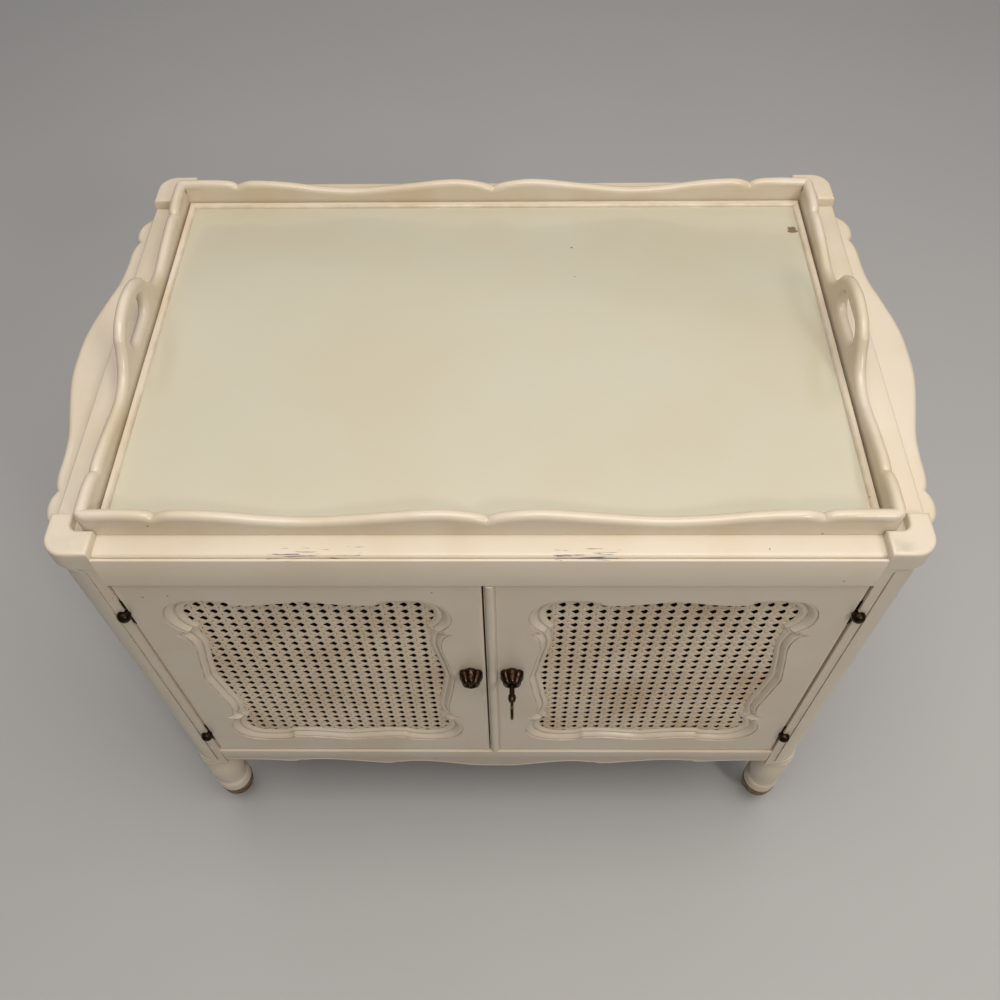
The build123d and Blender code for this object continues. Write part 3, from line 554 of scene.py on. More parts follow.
# %% Posts
BLOCK_ROUND, SHAFT_ROUND, FOOT_ROUND = 20, 30, 24
QUIRK_WIDE, QUIRK_DEEP = 0.0017, 0.0021
NOTCH_ROUND, TOP_ROUND = 0.008, 0.0028
SWELL_START, SWELL_LONG = 0.030, 0.0085
POST_FOOT = [(0, FOOT_ROUND, 0, 1.0), (0.4, FOOT_ROUND, 0, 0.3), (1, FOOT_ROUND, 0, 0),
             (8.6, FOOT_ROUND, 0, 0), (9.6, 24.3, 0, 0.3), (10, 25.5, 0, 0.3), (10.4, 28.5, 0.5, 0),
             (12.5, SHAFT_ROUND, 1, 0)]
tray_low, tray_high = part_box("tray_front_wall")[0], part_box("tray_back_wall")[1]
notch_u = half_width - (tray_high.x + 0.0065)
notch_v = half_depth - ((tray_high.y - tray_low.y) / 2 + 0.001)


def post_ring(radius, quirk, raised, wide, deep):
    """Section of a post, measured inwards from its two outer faces."""
    q = QUIRK_DEEP * quirk
    far, near = radius + 0.8 * QUIRK_WIDE, radius + 0.2 * QUIRK_WIDE
    ring = [(wide, 0), (radius + QUIRK_WIDE, 0), (far, q), (near, q)]
    ring += [(radius - radius * math.sin(a), radius - radius * math.cos(a))
             for a in np.linspace(0, math.pi / 2, 13)]
    ring += [(q, near), (q, far), (0, radius + QUIRK_WIDE), (0, deep)]
    if raised:
        ring.append((notch_u, deep))
        ring += [(notch_u + NOTCH_ROUND * (1 - math.cos(a)), notch_v + NOTCH_ROUND * (1 - math.sin(a)))
                 for a in np.linspace(0, math.pi / 2, 6)]
        return np.array(ring + [(wide, notch_v)])
    ring += [(notch_u, deep), (0.67 * wide, deep), (0.85 * wide, deep), (wide, deep)]
    return np.array(ring + [(wide, 0.91 * deep), (wide, 0.82 * deep), (wide, 0.7 * deep), (wide, notch_v)])


def post_levels(foot, top):
    """(height, corner radius in mm, quirk, shrink in mm, raised or not) from foot to top."""
    levels = [(foot + up * MM, radius, quirk, shrink, 0) for up, radius, quirk, shrink in POST_FOOT]
    levels.append((top - SWELL_START, SHAFT_ROUND, 1, 0, 0))
    for k in np.linspace(0.15, 1, 8):
        radius = SHAFT_ROUND - (SHAFT_ROUND - BLOCK_ROUND) * k * k * (3 - 2 * k)
        levels.append((top - SWELL_START + SWELL_LONG * k, radius, max(0, 1 - 1.4 * k), 0, 0))
    levels += [(rail_top, BLOCK_ROUND, 0, 0, raised) for raised in (0, 1)]
    return levels + [(top - d, BLOCK_ROUND, 0, s / MM, 1) for s, d in quarter(TOP_ROUND)]


for corner, sx, sy in CORNERS:
    node = f"{corner}_post"
    low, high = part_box(node)
    shape, rings = Shape(), []
    for z, radius, quirk, shrink, raised in post_levels(low.z, high.z):
        section = post_ring(radius * MM, quirk, raised, high.x - low.x, high.y - low.y)
        u, v = inset(section, shrink * MM).T
        rings.append(np.c_[sx * (half_width - u), mid_y + sy * (half_depth - v), np.full(len(u), z)])
    made = shape.stack(rings)
    guard = [shape.ring(np.c_[inset(rings[k][:, :2], 0.0015), rings[k][:, 2]]) for k in (0, -1)]
    shape.join(made[0], guard[0])
    shape.join(made[-1], guard[1])
    shape.ends(guard)
    finish_piece(shape, f"{node}_carved", "cabinet", [node], paint_z)

# %% [markdown]
# ## Rails
# The front rail, or frieze, has a flat strip at its very front, then a quirk
# and a small round-over up to the level of the rail. A moulding plane cuts
# that in one pass, and here one section is drawn and stretched along X.

# %% Frieze and top rails
low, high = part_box("front_frieze")
face, back, top, under = low.y, high.y, high.z, low.z
QUIRK = [(0, -1.0), (0.4, -0.3), (1.1, 0), (2.1, 0), (2.7, -0.4), (2.9, -4.5), (4.2, -4.9), (4.7, -4.2)]
ROUND_START, ROUND_OVER = 0.0047, 0.0040
section = [(face, under + 0.0008)] + [(face + inwards * MM, top + up * MM) for inwards, up in QUIRK]
section += [(face + ROUND_START + ROUND_OVER * (1 - math.cos(a)), top - ROUND_OVER * (1 - math.sin(a)))
            for a in np.linspace(0.15, math.pi / 2, 7)]
section += [(back - 0.001, top), (back, top - 0.001), (back, under + 0.001), (back - 0.001, under),
            (face + 0.0008, under)]
shape = Shape()
made = shape.stack([[(x, y, z) for y, z in section] for x in np.linspace(low.x, high.x, 25)])
shape.ends(made, (1, 2))
finish_piece(shape, "frieze_moulded", "cabinet", ["front_frieze"], paint_x)

for node, axis, finish in (("back_top_rail", 0, paint_x), ("left_top_rail", 1, paint_y),
                           ("right_top_rail", 1, paint_y)):
    shape = Shape()
    box_shape(shape, *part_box(node), rounding=0.0018, axis=axis)
    finish_piece(shape, f"{node}_eased", "cabinet", [node], finish)

# %% [markdown]
# ## Slabs with shaped edges
# Aprons, ledges and tray walls are all flat boards with a scalloped edge. A
# slab here is a list of levels through the thickness, and at each level the
# outline shrinks a little: by a quarter circle for an eased edge, or by a
# whole half circle for the full bullnose on top of a tray wall.

# %% The slab helper
def slab(outline, levels, place, name, axes, body, node, finish, holes=(), guard=0.0012, angle=38):
    """levels: (depth, how far the outline shrinks, how far the holes grow)."""
    shape = Shape()
    (t0, s0, g0), (t1, s1, g1) = levels[0], levels[-1]
    guarded = [(t0, s0 + guard, g0 + guard), *levels, (t1, s1 + guard, g1 + guard)]
    outer = shape.stack([place(inset(outline, s), t) for t, s, _ in guarded])
    inner = [shape.stack([place(inset(h, -g), t) for t, _, g in guarded]) for h in holes]
    for end in (0, -1):
        shape.plate(outer[end], [h[end] for h in inner], axes)
    return finish_piece(shape, name, body, [node], finish, angle=angle)


def eased(thickness, radius, steps=4):
    """Levels of a board whose two faces meet its edge in quarter circles."""
    front = [(t, s, s) for t, s in quarter(radius, steps)]
    return front + [(thickness - t, s, g) for t, s, g in front[::-1]]

# %% Aprons under the doors
APRON_RUNS = [[(0, 50.5), (28, 48.5), (55, 41.5), (80, 35.5), (103, 34.5), (116, 38.5)],
              [(116, 38.5), (121, 37.0), (126, 41.5)],
              [(126, 41.5), (140, 41.2), (165, 36), (200, 30), (225, 29.7), (236, 32)],
              [(236, 32), (241, 31.2), (246, 35.5)], [(246, 35.5), (258, 35), (280, 32), (334.5, 30.5)]]
APRON_BEAD = [(0, 6.2), (0.15, 5.9), (0.8, 5.6), (0.85, 5.2), (0.35, 4.7), (0.05, 3.9), (0, 3.0), (0.25, 1.8),
              (0.9, 0.8), (1.8, 0.2), (3.0, 0)]
APRON_PLAIN = 0.030


def apron_edge(low, high, lobe):
    """Lower edge of an apron, mirrored about the middle: a lobe of 1 is full depth."""
    reach = high.x / APRON_RUNS[-1][-1][0]
    rows = [[(x * reach, high.z - APRON_PLAIN - (d * MM - APRON_PLAIN) * lobe) for x, d in part]
            for part in APRON_RUNS]
    line = mirrored_line(rows, [16, 4, 18, 4, 12])
    line[:, 1] = np.maximum(line[:, 1], low.z)
    return line


for node, lobe in (("front_apron", 1.0), ("back_apron", 0.18)):
    low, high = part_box(node)
    edge = apron_edge(low, high, lobe)
    outline = np.concatenate([edge, [(high.x, high.z), (low.x, high.z)]])
    lower_only = np.r_[np.ones(len(edge)), 0.06, 0.06]
    thick = high.y - low.y
    levels = [(t * MM, s * MM * lower_only, 0) for t, s in APRON_BEAD]
    levels += [(thick - 0.0015, 0 * lower_only, 0), (thick, 0.0015 * lower_only, 0)]
    start, way = (low.y, 1) if node == "front_apron" else (high.y, -1)
    slab(outline, levels, lambda p, t: np.c_[p[:, 0], np.full(len(p), start + way * t), p[:, 1]],
         f"{node}_scalloped", (0, 2), "cabinet", node, paint_x, guard=0.0)

# %% Side ledges
LEDGE_RUNS = [[(0, 40), (25, 39.2), (45, 36.3), (75, 29.5), (105, 22.5), (130, 20.3), (150, 20), (162, 18),
               (168, 15.4)],
              [(168, 15.4), (175, 18.8), (185, 20), (197, 17), (208, 8)]]
UNDER_EDGE = [(0, 9.5), (0.4, 8.5), (4.5, 7.5), (7.5, 5.0), (8.5, 4.2), (9.2, 1.2), (10.5, 0.3), (12.5, 0)]
UPPER_EDGE = [(4.2, 0), (3.0, 0.3), (1.6, 1.2), (0.7, 2.4), (0.2, 3.6), (0, 4.8)]
ledge_line = mirrored_line([[(v * MM, r * MM) for v, r in part] for part in LEDGE_RUNS], [44, 16])
ledge_outline = np.concatenate([ledge_line, [(post_in_y, 0), (-post_in_y, 0)]])
edge_only = np.r_[np.ones(len(ledge_line)), 0, 0]
for side, sx in SIDES:
    low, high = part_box(f"{side}_ledge")
    thick = high.z - low.z
    levels = [(t * MM, s * MM * edge_only, 0) for t, s in UNDER_EDGE]
    levels += [(thick - t * MM, s * MM * edge_only, 0) for t, s in UPPER_EDGE]
    slab(ledge_outline, levels,
         lambda p, t: np.c_[sx * (half_width + p[:, 1]), mid_y + p[:, 0], np.full(len(p), low.z + t)],
         f"{side}_ledge_moulded", (0, 1), "cabinet", f"{side}_ledge", paint_y, guard=0.002 * edge_only)

# %% Side panels
ARCH, ARCH_SHOULDER = 0.0084, 0.0063
for side, _ in SIDES:
    node = f"{side}_side_panel"
    low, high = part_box(node)
    arch = run([(-post_in_y, low.z), (-0.5 * post_in_y, low.z + ARCH_SHOULDER), (0, low.z + ARCH),
                (0.5 * post_in_y, low.z + ARCH_SHOULDER), (post_in_y, low.z)], 40)
    outline = np.concatenate([arch, [(post_in_y, high.z), (-post_in_y, high.z)]])
    slab(outline, eased(high.x - low.x, 0.0012, 2),
         lambda p, t: np.c_[np.full(len(p), low.x + t), mid_y + p[:, 0], p[:, 1]],
         f"{node}_eased", (1, 2), "cabinet", node, paint_z)

# %% [markdown]
# ## The gallery tray
# Four thin walls stand on the tray's board. Their tops are scalloped and
# rounded to a full bullnose, so that they are kind to the hand, and the two
# end walls rise to a hump with a rounded slot to lift the tray by. The long
# walls' outer corners are rounded too. Each wall is a stack of outlines that
# shrink by a half circle at the crest and not at all at the foot.

# %% Tray walls
LONG_RUNS = [[(0, 18.5), (9, 22.4), (35, 27), (56, 26.5), (90, 22.5), (150, 16.5), (191, 19), (223, 24),
              (256, 26.6), (270, 26), (281, 22)],
             [(281, 22), (286, 25.2), (296, 27), (343.5, 27)],
             [(343.5, 27), (346.6, 26.3), (348.4, 24.7), (349, 22)]]
END_RUNS = [[(0, 63), (14, 61.6), (30, 57), (43, 48)],
            [(43, 48), (48, 40), (54, 32), (65, 22), (85, 16.5), (125, 20.5), (155, 23), (167, 22.6),
             (172, 21.2)],
            [(172, 21.2), (177, 24.6), (188, 26.8), (214, 27)]]
PLAN_ROUND, CORNER_REACH, INTO_CORNER = 0.0105, 0.014, 0.0045
SLOT_HALF, SLOT_TALL, SLOT_MIDDLE = 0.029, 0.0125, rail_top + 0.033
END_CREST = 0.027


def bullnose(thickness, count):
    """(depth, shrink) pairs through a wall whose crest is a full half round."""
    r = thickness / 2
    depths = r * (1 - np.cos(np.linspace(0, math.pi, count)))
    return [(t, r - math.sqrt(max(r * r - (r - t) ** 2, 0))) for t in depths]


def rounded_away(from_outer):
    """How much shorter a long wall is at a depth behind its outer face."""
    away = max(PLAN_ROUND - from_outer, 0)
    return PLAN_ROUND - math.sqrt(max(PLAN_ROUND**2 - away**2, 0))


wall_foot = tray_low.z
half_long = tray_high.x
right = np.concatenate([run([(x * MM * half_long / 0.349, rail_top + h * MM) for x, h in part], c)[min(i, 1):]
                        for i, (part, c) in enumerate(zip(LONG_RUNS, (64, 18, 6)))])
crest_line = np.concatenate([right[:0:-1] * (-1, 1), right])
outline = np.concatenate([crest_line[::-1], [(-half_long, wall_foot), (half_long, wall_foot)]])
n = len(crest_line)
tips = [0, n - 1]
crest_share = np.r_[0, np.ones(n - 2), 0, 0, 0]


def long_wall_ring(nose, corner, y):
    p = inset(outline, nose * crest_share)
    p[n:] = outline[n:]
    p[tips] = outline[tips] - (0, nose)
    beyond = np.maximum(np.abs(p[:, 0]) - (half_long - CORNER_REACH), 0) / CORNER_REACH
    p[:, 0] -= np.sign(p[:, 0]) * beyond * corner
    return np.c_[p[:, 0], np.full(len(p), y), p[:, 1]]


for node, outer_first in (("tray_front_wall", True), ("tray_back_wall", False)):
    low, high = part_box(node)
    thick = high.y - low.y
    shape = Shape()
    made = shape.stack([long_wall_ring(nose, rounded_away(t if outer_first else thick - t), low.y + t)
                        for t, nose in bullnose(thick, 17)])
    shape.ends(made, (0, 2))
    finish_piece(shape, f"{node}_rounded", "tray", [node], tray_paint, angle=50)

end_low, end_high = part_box("tray_left_wall")
end_half = (end_high.y - end_low.y) / 2
rows = [[(v * MM * end_half / 0.214, rail_top + h * MM) for v, h in part] for part in END_RUNS]
end_half += INTO_CORNER
rows[-1][-1] = (end_half, rail_top + END_CREST)
end_crest = mirrored_line(rows, [20, 44, 14])
outline = np.concatenate([end_crest[::-1], [(-end_half, wall_foot), (end_half, wall_foot)]])
weights = np.r_[np.ones(len(end_crest)), 0, 0]
hand_slot = []
for way in (1, -1):
    for a in np.linspace(-math.pi / 2, math.pi / 2, 17):
        hand_slot.append((way * (SLOT_HALF - SLOT_TALL + SLOT_TALL * math.cos(a)),
                          SLOT_MIDDLE + way * SLOT_TALL * math.sin(a)))
for side, _ in SIDES:
    node = f"tray_{side}_wall"
    low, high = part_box(node)
    slab(outline, [(t, nose * weights, nose) for t, nose in bullnose(high.x - low.x, 15)],
         lambda p, t: np.c_[np.full(len(p), low.x + t), mid_y + p[:, 0], p[:, 1]],
         f"{node}_rounded", (1, 2), "tray", node, tray_paint, holes=[hand_slot], angle=50)

# %% Tray floor and its bead
shape = Shape()
box_shape(shape, *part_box("tray_floor"), rounding=0.0006)
finish_piece(shape, "tray_floor_board", "tray", ["tray_floor"], tray_gloss)

BEAD_WIDE, BEAD_FLAT = 0.007, 0.0018
low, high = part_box("tray_bead")
tall = high.z - low.z
profile = [(0.0005, 0), (0.0005, 0.8 * tall), (0.0008, 0.95 * tall), (0.0012, tall)]
profile += [(BEAD_FLAT + (BEAD_WIDE - BEAD_FLAT) * math.sin(a), tall * math.cos(a))
            for a in np.linspace(0.05, 1.5, 9)]
profile += [(BEAD_WIDE, 0)]
shape = Shape()
made = shape.stack([[(cx * (high.x - d), mid_y + cy * (high.y - mid_y - d), low.z + h)
                     for cx, cy in QUADRANTS] for d, h in profile])
shape.join(made[-1], made[0])
finish_piece(shape, "tray_bead_quarter_round", "tray", ["tray_bead"], tray_paint)

# %% [markdown]
# ## Doors
# Each door is a frame with a carved opening. The carver sank a band about
# 12 mm wide, with a fillet, a hollow and a small inner bead, and finished the
# corners as ears with a pointed leaf beside each. Two outlines are drawn here,
# the outer line of the carving and its inner line, and every ring between
# them is a share of the way from one to the other and a little deeper.

# %% Carved openings
OUTER_QUARTER = [[(0, 168), (45, 160.5), (66, 161)],
                 [(66, 161), (71, 166.6), (84, 168.8), (100, 169), (116, 165.5), (128, 155), (134, 137),
                  (131, 119), (121, 106)],
                 [(121, 106), (133.5, 101)],
                 [(133.5, 101), (125, 93), (121.5, 75), (126, 40), (131.5, 0)]]
INNER_QUARTER = [[(0, 156.5), (45, 149), (67, 149.5)],
                 [(67, 149.5), (73, 153.5), (84, 156), (97, 156), (106, 152.5), (113, 146), (117, 135),
                  (115, 120), (109, 109)],
                 [(109, 109), (112, 99)],
                 [(112, 99), (111.5, 90), (110, 74), (114.5, 40), (119.5, 0)]]
CARVING = [(0, 0), (0.012, 0.75), (0.04, 1.15), (0.09, 1.1), (0.13, 0.95), (0.18, 1.05), (0.24, 1.5),
           (0.31, 2.3), (0.38, 3.4), (0.44, 4.5), (0.49, 5.5), (0.53, 6.0), (0.57, 5.9), (0.61, 5.3),
           (0.67, 4.95), (0.74, 5.05), (0.81, 5.5), (0.87, 6.2), (0.93, 7.0), (1.0, 7.7)]
DOOR_EDGE = [(4.0, 0), (1.0, 0), (0.3, 0.25), (0, 1.0), (0, 19), (0.8, 20)]
DOOR_PARTS = ("hinge_stile", "meeting_stile", "top_rail", "bottom_rail")
PLAY, STRIP_WIDE, STRIP_THICK = 0.0005, 0.008, 0.0065


def opening(quarters, counts=(18, 40, 8, 30)):
    """Closed anticlockwise outline from the four runs of one quarter."""
    first = [run(q, c) for q, c in zip(quarters, counts)]
    right_top = np.concatenate([first[0]] + [f[1:] for f in first[1:]])[::-1]
    left_top = right_top[::-1][1:] * (-1, 1)
    left_low = left_top[::-1][1:] * (1, -1)
    right_low = right_top[::-1][1:-1] * (1, -1)
    return np.concatenate([right_top, left_top, left_low, right_low]) * MM


outer_line, inner_line = opening(OUTER_QUARTER), opening(INNER_QUARTER)
print("opening points", len(outer_line))
cane_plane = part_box("left_door_cane")[0].y


def door_frame(name, nodes, cx, cz, half_x, half_z):
    """A door's frame, with its eased edges, carved opening and the rebate behind."""
    boxes = [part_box(node) for node in nodes]
    wide = (max(b[1].x for b in boxes) - min(b[0].x for b in boxes)) / 2
    tall = (max(b[1].z for b in boxes) - min(b[0].z for b in boxes)) / 2
    shape = Shape()

    def place(points, depth):
        return [(cx + u, door_face + depth, cz + v) for u, v in points]

    outer = shape.stack([place([(sx * (wide - s * MM), sy * (tall - s * MM)) for sx, sy in QUADRANTS], d * MM)
                         for s, d in DOOR_EDGE])
    deep = cane_plane - door_face
    rings = [place(inset(outer_line, -0.0022), 0)]
    rings += [place(outer_line * (1 - s) + inner_line * s, min(d * MM, deep - 0.0003)) for s, d in CARVING]
    reach = 1 / np.maximum(np.abs(inner_line[:, 0]) / half_x, np.abs(inner_line[:, 1]) / half_z)
    rebate = inner_line * reach[:, None]
    rings += [place(inner_line, deep), place(rebate, deep), place(rebate, door_back - door_face)]
    hole = shape.stack(rings)
    for end in (0, -1):
        shape.plate(outer[end], [hole[end]], axes=(0, 2))
    finish_piece(shape, f"{name}_frame", name, nodes, carved, angle=42)


def cane_strips(name, back, cx, cz, half_x, half_z):
    """Four strips that hold the cane from behind."""
    shape = Shape()
    near_x, near_z = half_x - STRIP_WIDE - PLAY, half_z - STRIP_WIDE - PLAY
    for x in (cx + near_x, cx - half_x + PLAY):
        box_shape(shape, (x, back, cz - half_z + PLAY),
                  (x + STRIP_WIDE, back + STRIP_THICK, cz + half_z - PLAY), rounding=0.0015)
    for z in (cz + near_z, cz - half_z + PLAY):
        box_shape(shape, (cx - near_x + PLAY, back, z),
                  (cx + near_x - PLAY, back + STRIP_THICK, z + STRIP_WIDE), rounding=0.0015, axis=0)
    # The strips take the same near-black paint, painted shade behind the cane.
    finish_piece(shape, f"{name}_cane_strips", name, [], inside)


for name in ("left_door", "right_door"):
    nodes = [f"{name}_{part}" for part in DOOR_PARTS]
    outer_x, inner_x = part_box(nodes[0]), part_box(nodes[1])
    x0, x1 = min(outer_x[0].x, inner_x[0].x), max(outer_x[1].x, inner_x[1].x)
    middle = ((x0 + x1) / 2, (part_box(nodes[2])[1].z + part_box(nodes[3])[0].z) / 2)
    low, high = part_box(f"{name}_cane")
    half = ((high.x - low.x) / 2 + PLAY, (high.z - low.z) / 2 + PLAY)
    door_frame(name, nodes, *middle, *half)
    cane_strips(name, high.y + 0.0003, *middle, *half)

# %% The bead where the doors meet
low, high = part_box("astragal")
mid_x, half_bead = (low.x + high.x) / 2, (high.x - low.x) / 2
proud, bow = door_face - low.y, half_bead - 0.0012
section = [(half_bead, high.y), (-half_bead, high.y), (-half_bead, door_face + 0.0004),
           (0.0004 - half_bead, door_face), (0.0011 - half_bead, door_face)]
section += [(-bow * math.cos(a), door_face - proud * math.sin(a))
            for a in np.linspace(0.06, math.pi - 0.06, 13)]
section += [(half_bead - 0.0011, door_face), (half_bead - 0.0004, door_face), (half_bead, door_face + 0.0004)]
shape = Shape()
made = shape.stack([[(mid_x + u, y, z) for u, y in section] for z in (low.z, high.z)])
shape.ends(made)
finish_piece(shape, "meeting_bead", "right_door", ["astragal"], paint_z)

# %% [markdown]
# ## Woven cane, with Geometry Nodes
# Cabinet cane is woven six ways: pairs of strands run up and across, and one
# diagonal runs each way past them, which leaves eight-sided holes in straight
# rows. Everything repeats, so a node tree does the work: a line of points for
# each family of strands, a flattened tube on each point, and a small wave
# along it so that strands pass over and under each other.

# %% The cane tree
def node_tree(name, sizes):
    """A new tree with named sizes and a finish, and a table of what those inputs give."""
    tree = bpy.data.node_groups.new(name, "GeometryNodeTree")
    for label, value in sizes.items():
        kind = "NodeSocketInt" if isinstance(value, int) else "NodeSocketFloat"
        tree.interface.new_socket(label, in_out="INPUT", socket_type=kind).default_value = value
    tree.interface.new_socket("Finish", in_out="INPUT", socket_type="NodeSocketMaterial")
    tree.interface.new_socket("Geometry", in_out="OUTPUT", socket_type="NodeSocketGeometry")
    kit = Kit(tree)
    first = kit.node("NodeGroupInput")
    return kit, {label: first.other(label) for label in (*sizes, "Finish")}


def close_tree(kit, shape, finish):
    """Makes the copies real, gives them their finish and sends them out."""
    real = kit.node("GeometryNodeRealizeInstances", {0: shape})
    finished = kit.node("GeometryNodeSetMaterial", {"Geometry": real, "Material": finish})
    kit.feed(kit.tree.nodes.new("NodeGroupOutput"), {0: finished})
    return kit.tree


TUBE_FLAT, DIAGONAL_LIFT = 0.58, 0.0002


def cane_tree():
    kit, given = node_tree("six way cane", {
        "Half Width": 0.1, "Half Height": 0.1, "Pitch Across": 0.0128, "Pitch Up": 0.0133,
        "Strand Width": 0.0028, "Diagonal Width": 0.0026, "Thickness": 0.0015, "Pair Gap": 0.0033,
        "Weave": 0.0006})
    apart = kit.node("GeometryNodeInputPosition").split()
    families = kit.tree.nodes.new("GeometryNodeJoinGeometry")

    def strands(step_axis, step, span, shift, width, length, parts, angle, wave_axis, wave_step, phase,
                proud=0.0):
        """One family: points every step, a tube on each, waved along wave_axis and standing proud."""
        count = kit.maths("CEIL", span / (step * 2.0)) * 2.0 + 3.0
        start = (count - 1.0) * -0.5 * step + shift
        first, by = [kit.vector(**{"xyz"[step_axis]: value}) for value in (start, step)]
        line = kit.node("GeometryNodeMeshLine", {"Count": count, "Start Location": first, "Offset": by})
        tube = kit.node("GeometryNodeMeshCylinder", {"Vertices": 6, "Side Segments": parts, "Radius": 1.0,
                                                     "Depth": length})
        flat = kit.vector(width * 0.5, given["Thickness"] * TUBE_FLAT, 1.0)
        flat_tube = kit.node("GeometryNodeTransform", {"Geometry": tube, "Scale": flat})
        laid = kit.node("GeometryNodeTransform", {"Geometry": flat_tube, "Rotation": kit.vector(y=angle)})
        placed = kit.node("GeometryNodeInstanceOnPoints", {"Points": line, "Instance": laid})
        real = kit.node("GeometryNodeRealizeInstances", {0: placed})
        turn = apart[wave_axis] / wave_step * (2 * math.pi) + phase
        wave = kit.maths("COSINE", turn) * given["Weave"]
        waved = kit.node("GeometryNodeSetPosition", {"Geometry": real, "Offset": kit.vector(y=wave - proud)})
        kit.feed(families, {0: waved})

    px, pz = given["Pitch Across"], given["Pitch Up"]
    wide, tall = given["Half Width"] * 2.0, given["Half Height"] * 2.0
    across_parts = kit.maths("ROUND", wide / px * 4.0)
    up_parts = kit.maths("ROUND", tall / pz * 4.0)
    slope = kit.maths("ARCTAN2", px, pz)
    long_side = tall / kit.maths("COSINE", slope) * 1.03
    spread = wide + tall / pz * px
    strand, diagonal = given["Strand Width"], given["Diagonal Width"]
    for sign in (-1.0, 1.0):
        aside = given["Pair Gap"] * (0.5 * sign)
        phase = 0.0 if sign < 0 else math.pi
        strands(0, px, wide, px * 0.5 + aside, strand, tall, up_parts, 0.0, 2, pz, phase)
        strands(2, pz, tall, pz * 0.5 + aside, strand, wide, across_parts, math.pi / 2, 0, px, phase)
        strands(0, px, spread, px * 0.5, diagonal, long_side, up_parts, slope * sign, 0, px, phase,
                DIAGONAL_LIFT * sign)
    outside = kit.maths("MAXIMUM", kit.maths("ABSOLUTE", apart[0]) > given["Half Width"],
                        kit.maths("ABSOLUTE", apart[2]) > given["Half Height"])
    woven = Result(kit, families.outputs[0])
    trimmed = kit.node("GeometryNodeDeleteGeometry", {"Geometry": woven, "Selection": outside}, domain="FACE")
    smooth = kit.node("GeometryNodeSetShadeSmooth", {"Geometry": trimmed})
    return close_tree(kit, smooth, given["Finish"])


def grow(tree, name, **sizes):
    """Runs a node tree with its named inputs and returns the result as a plain mesh."""
    maker = linked(f"{name}_maker", bpy.data.meshes.new(f"{name}_seed"))
    run_tree = maker.modifiers.new("make", "NODES")
    run_tree.node_group = tree
    wanted = {key.lower().replace("_", " "): value for key, value in sizes.items()}
    for item in tree.interface.items_tree:
        if item.item_type == "SOCKET" and item.in_out == "INPUT" and item.name.lower() in wanted:
            run_tree[item.identifier] = wanted[item.name.lower()]
    deps = bpy.context.evaluated_depsgraph_get()
    data = bpy.data.meshes.new_from_object(maker.evaluated_get(deps))
    data.name = name
    maker.modifiers.remove(run_tree)
    bpy.data.objects.remove(maker)
    print(name, "made by nodes:", len(data.polygons), "faces")
    return data


cane = cane_tree()
for name in ("left_door", "right_door"):
    low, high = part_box(f"{name}_cane")
    data = grow(cane, f"{name}_cane_mesh", half_width=(high.x - low.x) / 2, half_height=(high.z - low.z) / 2,
                finish=cane_paint)
    data.transform(Matrix.Translation((low + high) / 2))
    work = bmesh.new()
    work.from_mesh(data)
    open_edges = [e for e in work.edges if len(e.link_faces) == 1]
    bmesh.ops.holes_fill(work, edges=open_edges, sides=0)
    work.to_mesh(data)
    work.free()
    finish_piece(data, f"{name}_woven_cane", name, [f"{name}_cane"], cane_paint, angle=60,
                 marks=False)

# %% [markdown]
# ## Feet, cups and casters
# The feet are turned on a lathe: a collar under the post, a small ring, a full
# vase and a ring at the foot, where a brass cup holds the caster. A lathe
# shape is one profile spun round, so each is a short list of radius and height.

# %% Turned feet and brass cups
FOOT_PROFILE = [(0, 161), (20.4, 161), (21.5, 160.2), (21.8, 158.4), (21.3, 156.6), (20.2, 155.8),
                (18.2, 155.4), (17.8, 154.6), (18.6, 153.8), (19.9, 153), (20.2, 151.6), (19.7, 150.2),
                (18.0, 149.4), (17.6, 148), (18.4, 144.5), (20.0, 139), (21.7, 131.5), (22.6, 123),
                (22.7, 115), (22.1, 106), (20.8, 97.5), (19.3, 89.5), (18.3, 83), (18.2, 78.5),
                (18.9, 76), (20.2, 75.2), (20.9, 74.4), (21.4, 72.6), (21.6, 68), (21.5, 61), (21.3, 57),
                (20.7, 55), (19.9, 54.1), (17, 54), (17, 37), (0, 37)]
CUP_PROFILE = [(0, 53.8), (20.0, 53.9), (21.0, 53.7), (21.6, 52.9), (21.6, 51.9), (21.1, 51.1),
               (20.7, 50.4), (20.7, 47), (20.3, 41), (19.6, 36.6), (18.4, 34), (16.6, 32.9), (14, 32.6),
               (0, 32.5)]
cups = Shape()
for corner, _, _ in CORNERS:
    low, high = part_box(f"{corner}_foot")
    centre = ((low.x + high.x) / 2, (low.y + high.y) / 2, 0)
    shape = Shape()
    shape.lathe([(r * MM, z * MM) for r, z in FOOT_PROFILE], centre, 64)
    finish_piece(shape, f"{corner}_foot_turned", "cabinet", [f"{corner}_foot"], paint_z, angle=55)
    cups.lathe([(r * MM, z * MM) for r, z in CUP_PROFILE], centre, 48)
finish_piece(cups, "caster_cups_spun", "cabinet", ["caster_cups"], caster_brass)

# %% Caster wheels
WHEEL_HALF = [(2.6, -5.9), (4.6, -6.0), (5.2, -5.5), (5.6, -4.4), (9.4, -4.3), (9.9, -5.2), (11.2, -5.9),
              (12.4, -5.5), (13.1, -4.6), (13.45, -3)]
wheel_profile = WHEEL_HALF + [(13.5, 0)] + [(r, -at) for r, at in WHEEL_HALF[::-1]]
for corner, _, _ in CORNERS:
    node = f"{corner}_wheel"
    low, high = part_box(node)
    shape = Shape()
    shape.lathe([(r * MM, at * MM) for r, at in wheel_profile], (low + high) / 2, 40, axis=0, hollow=True)
    finish_piece(shape, f"{node}_turned", node, [node], tyre)

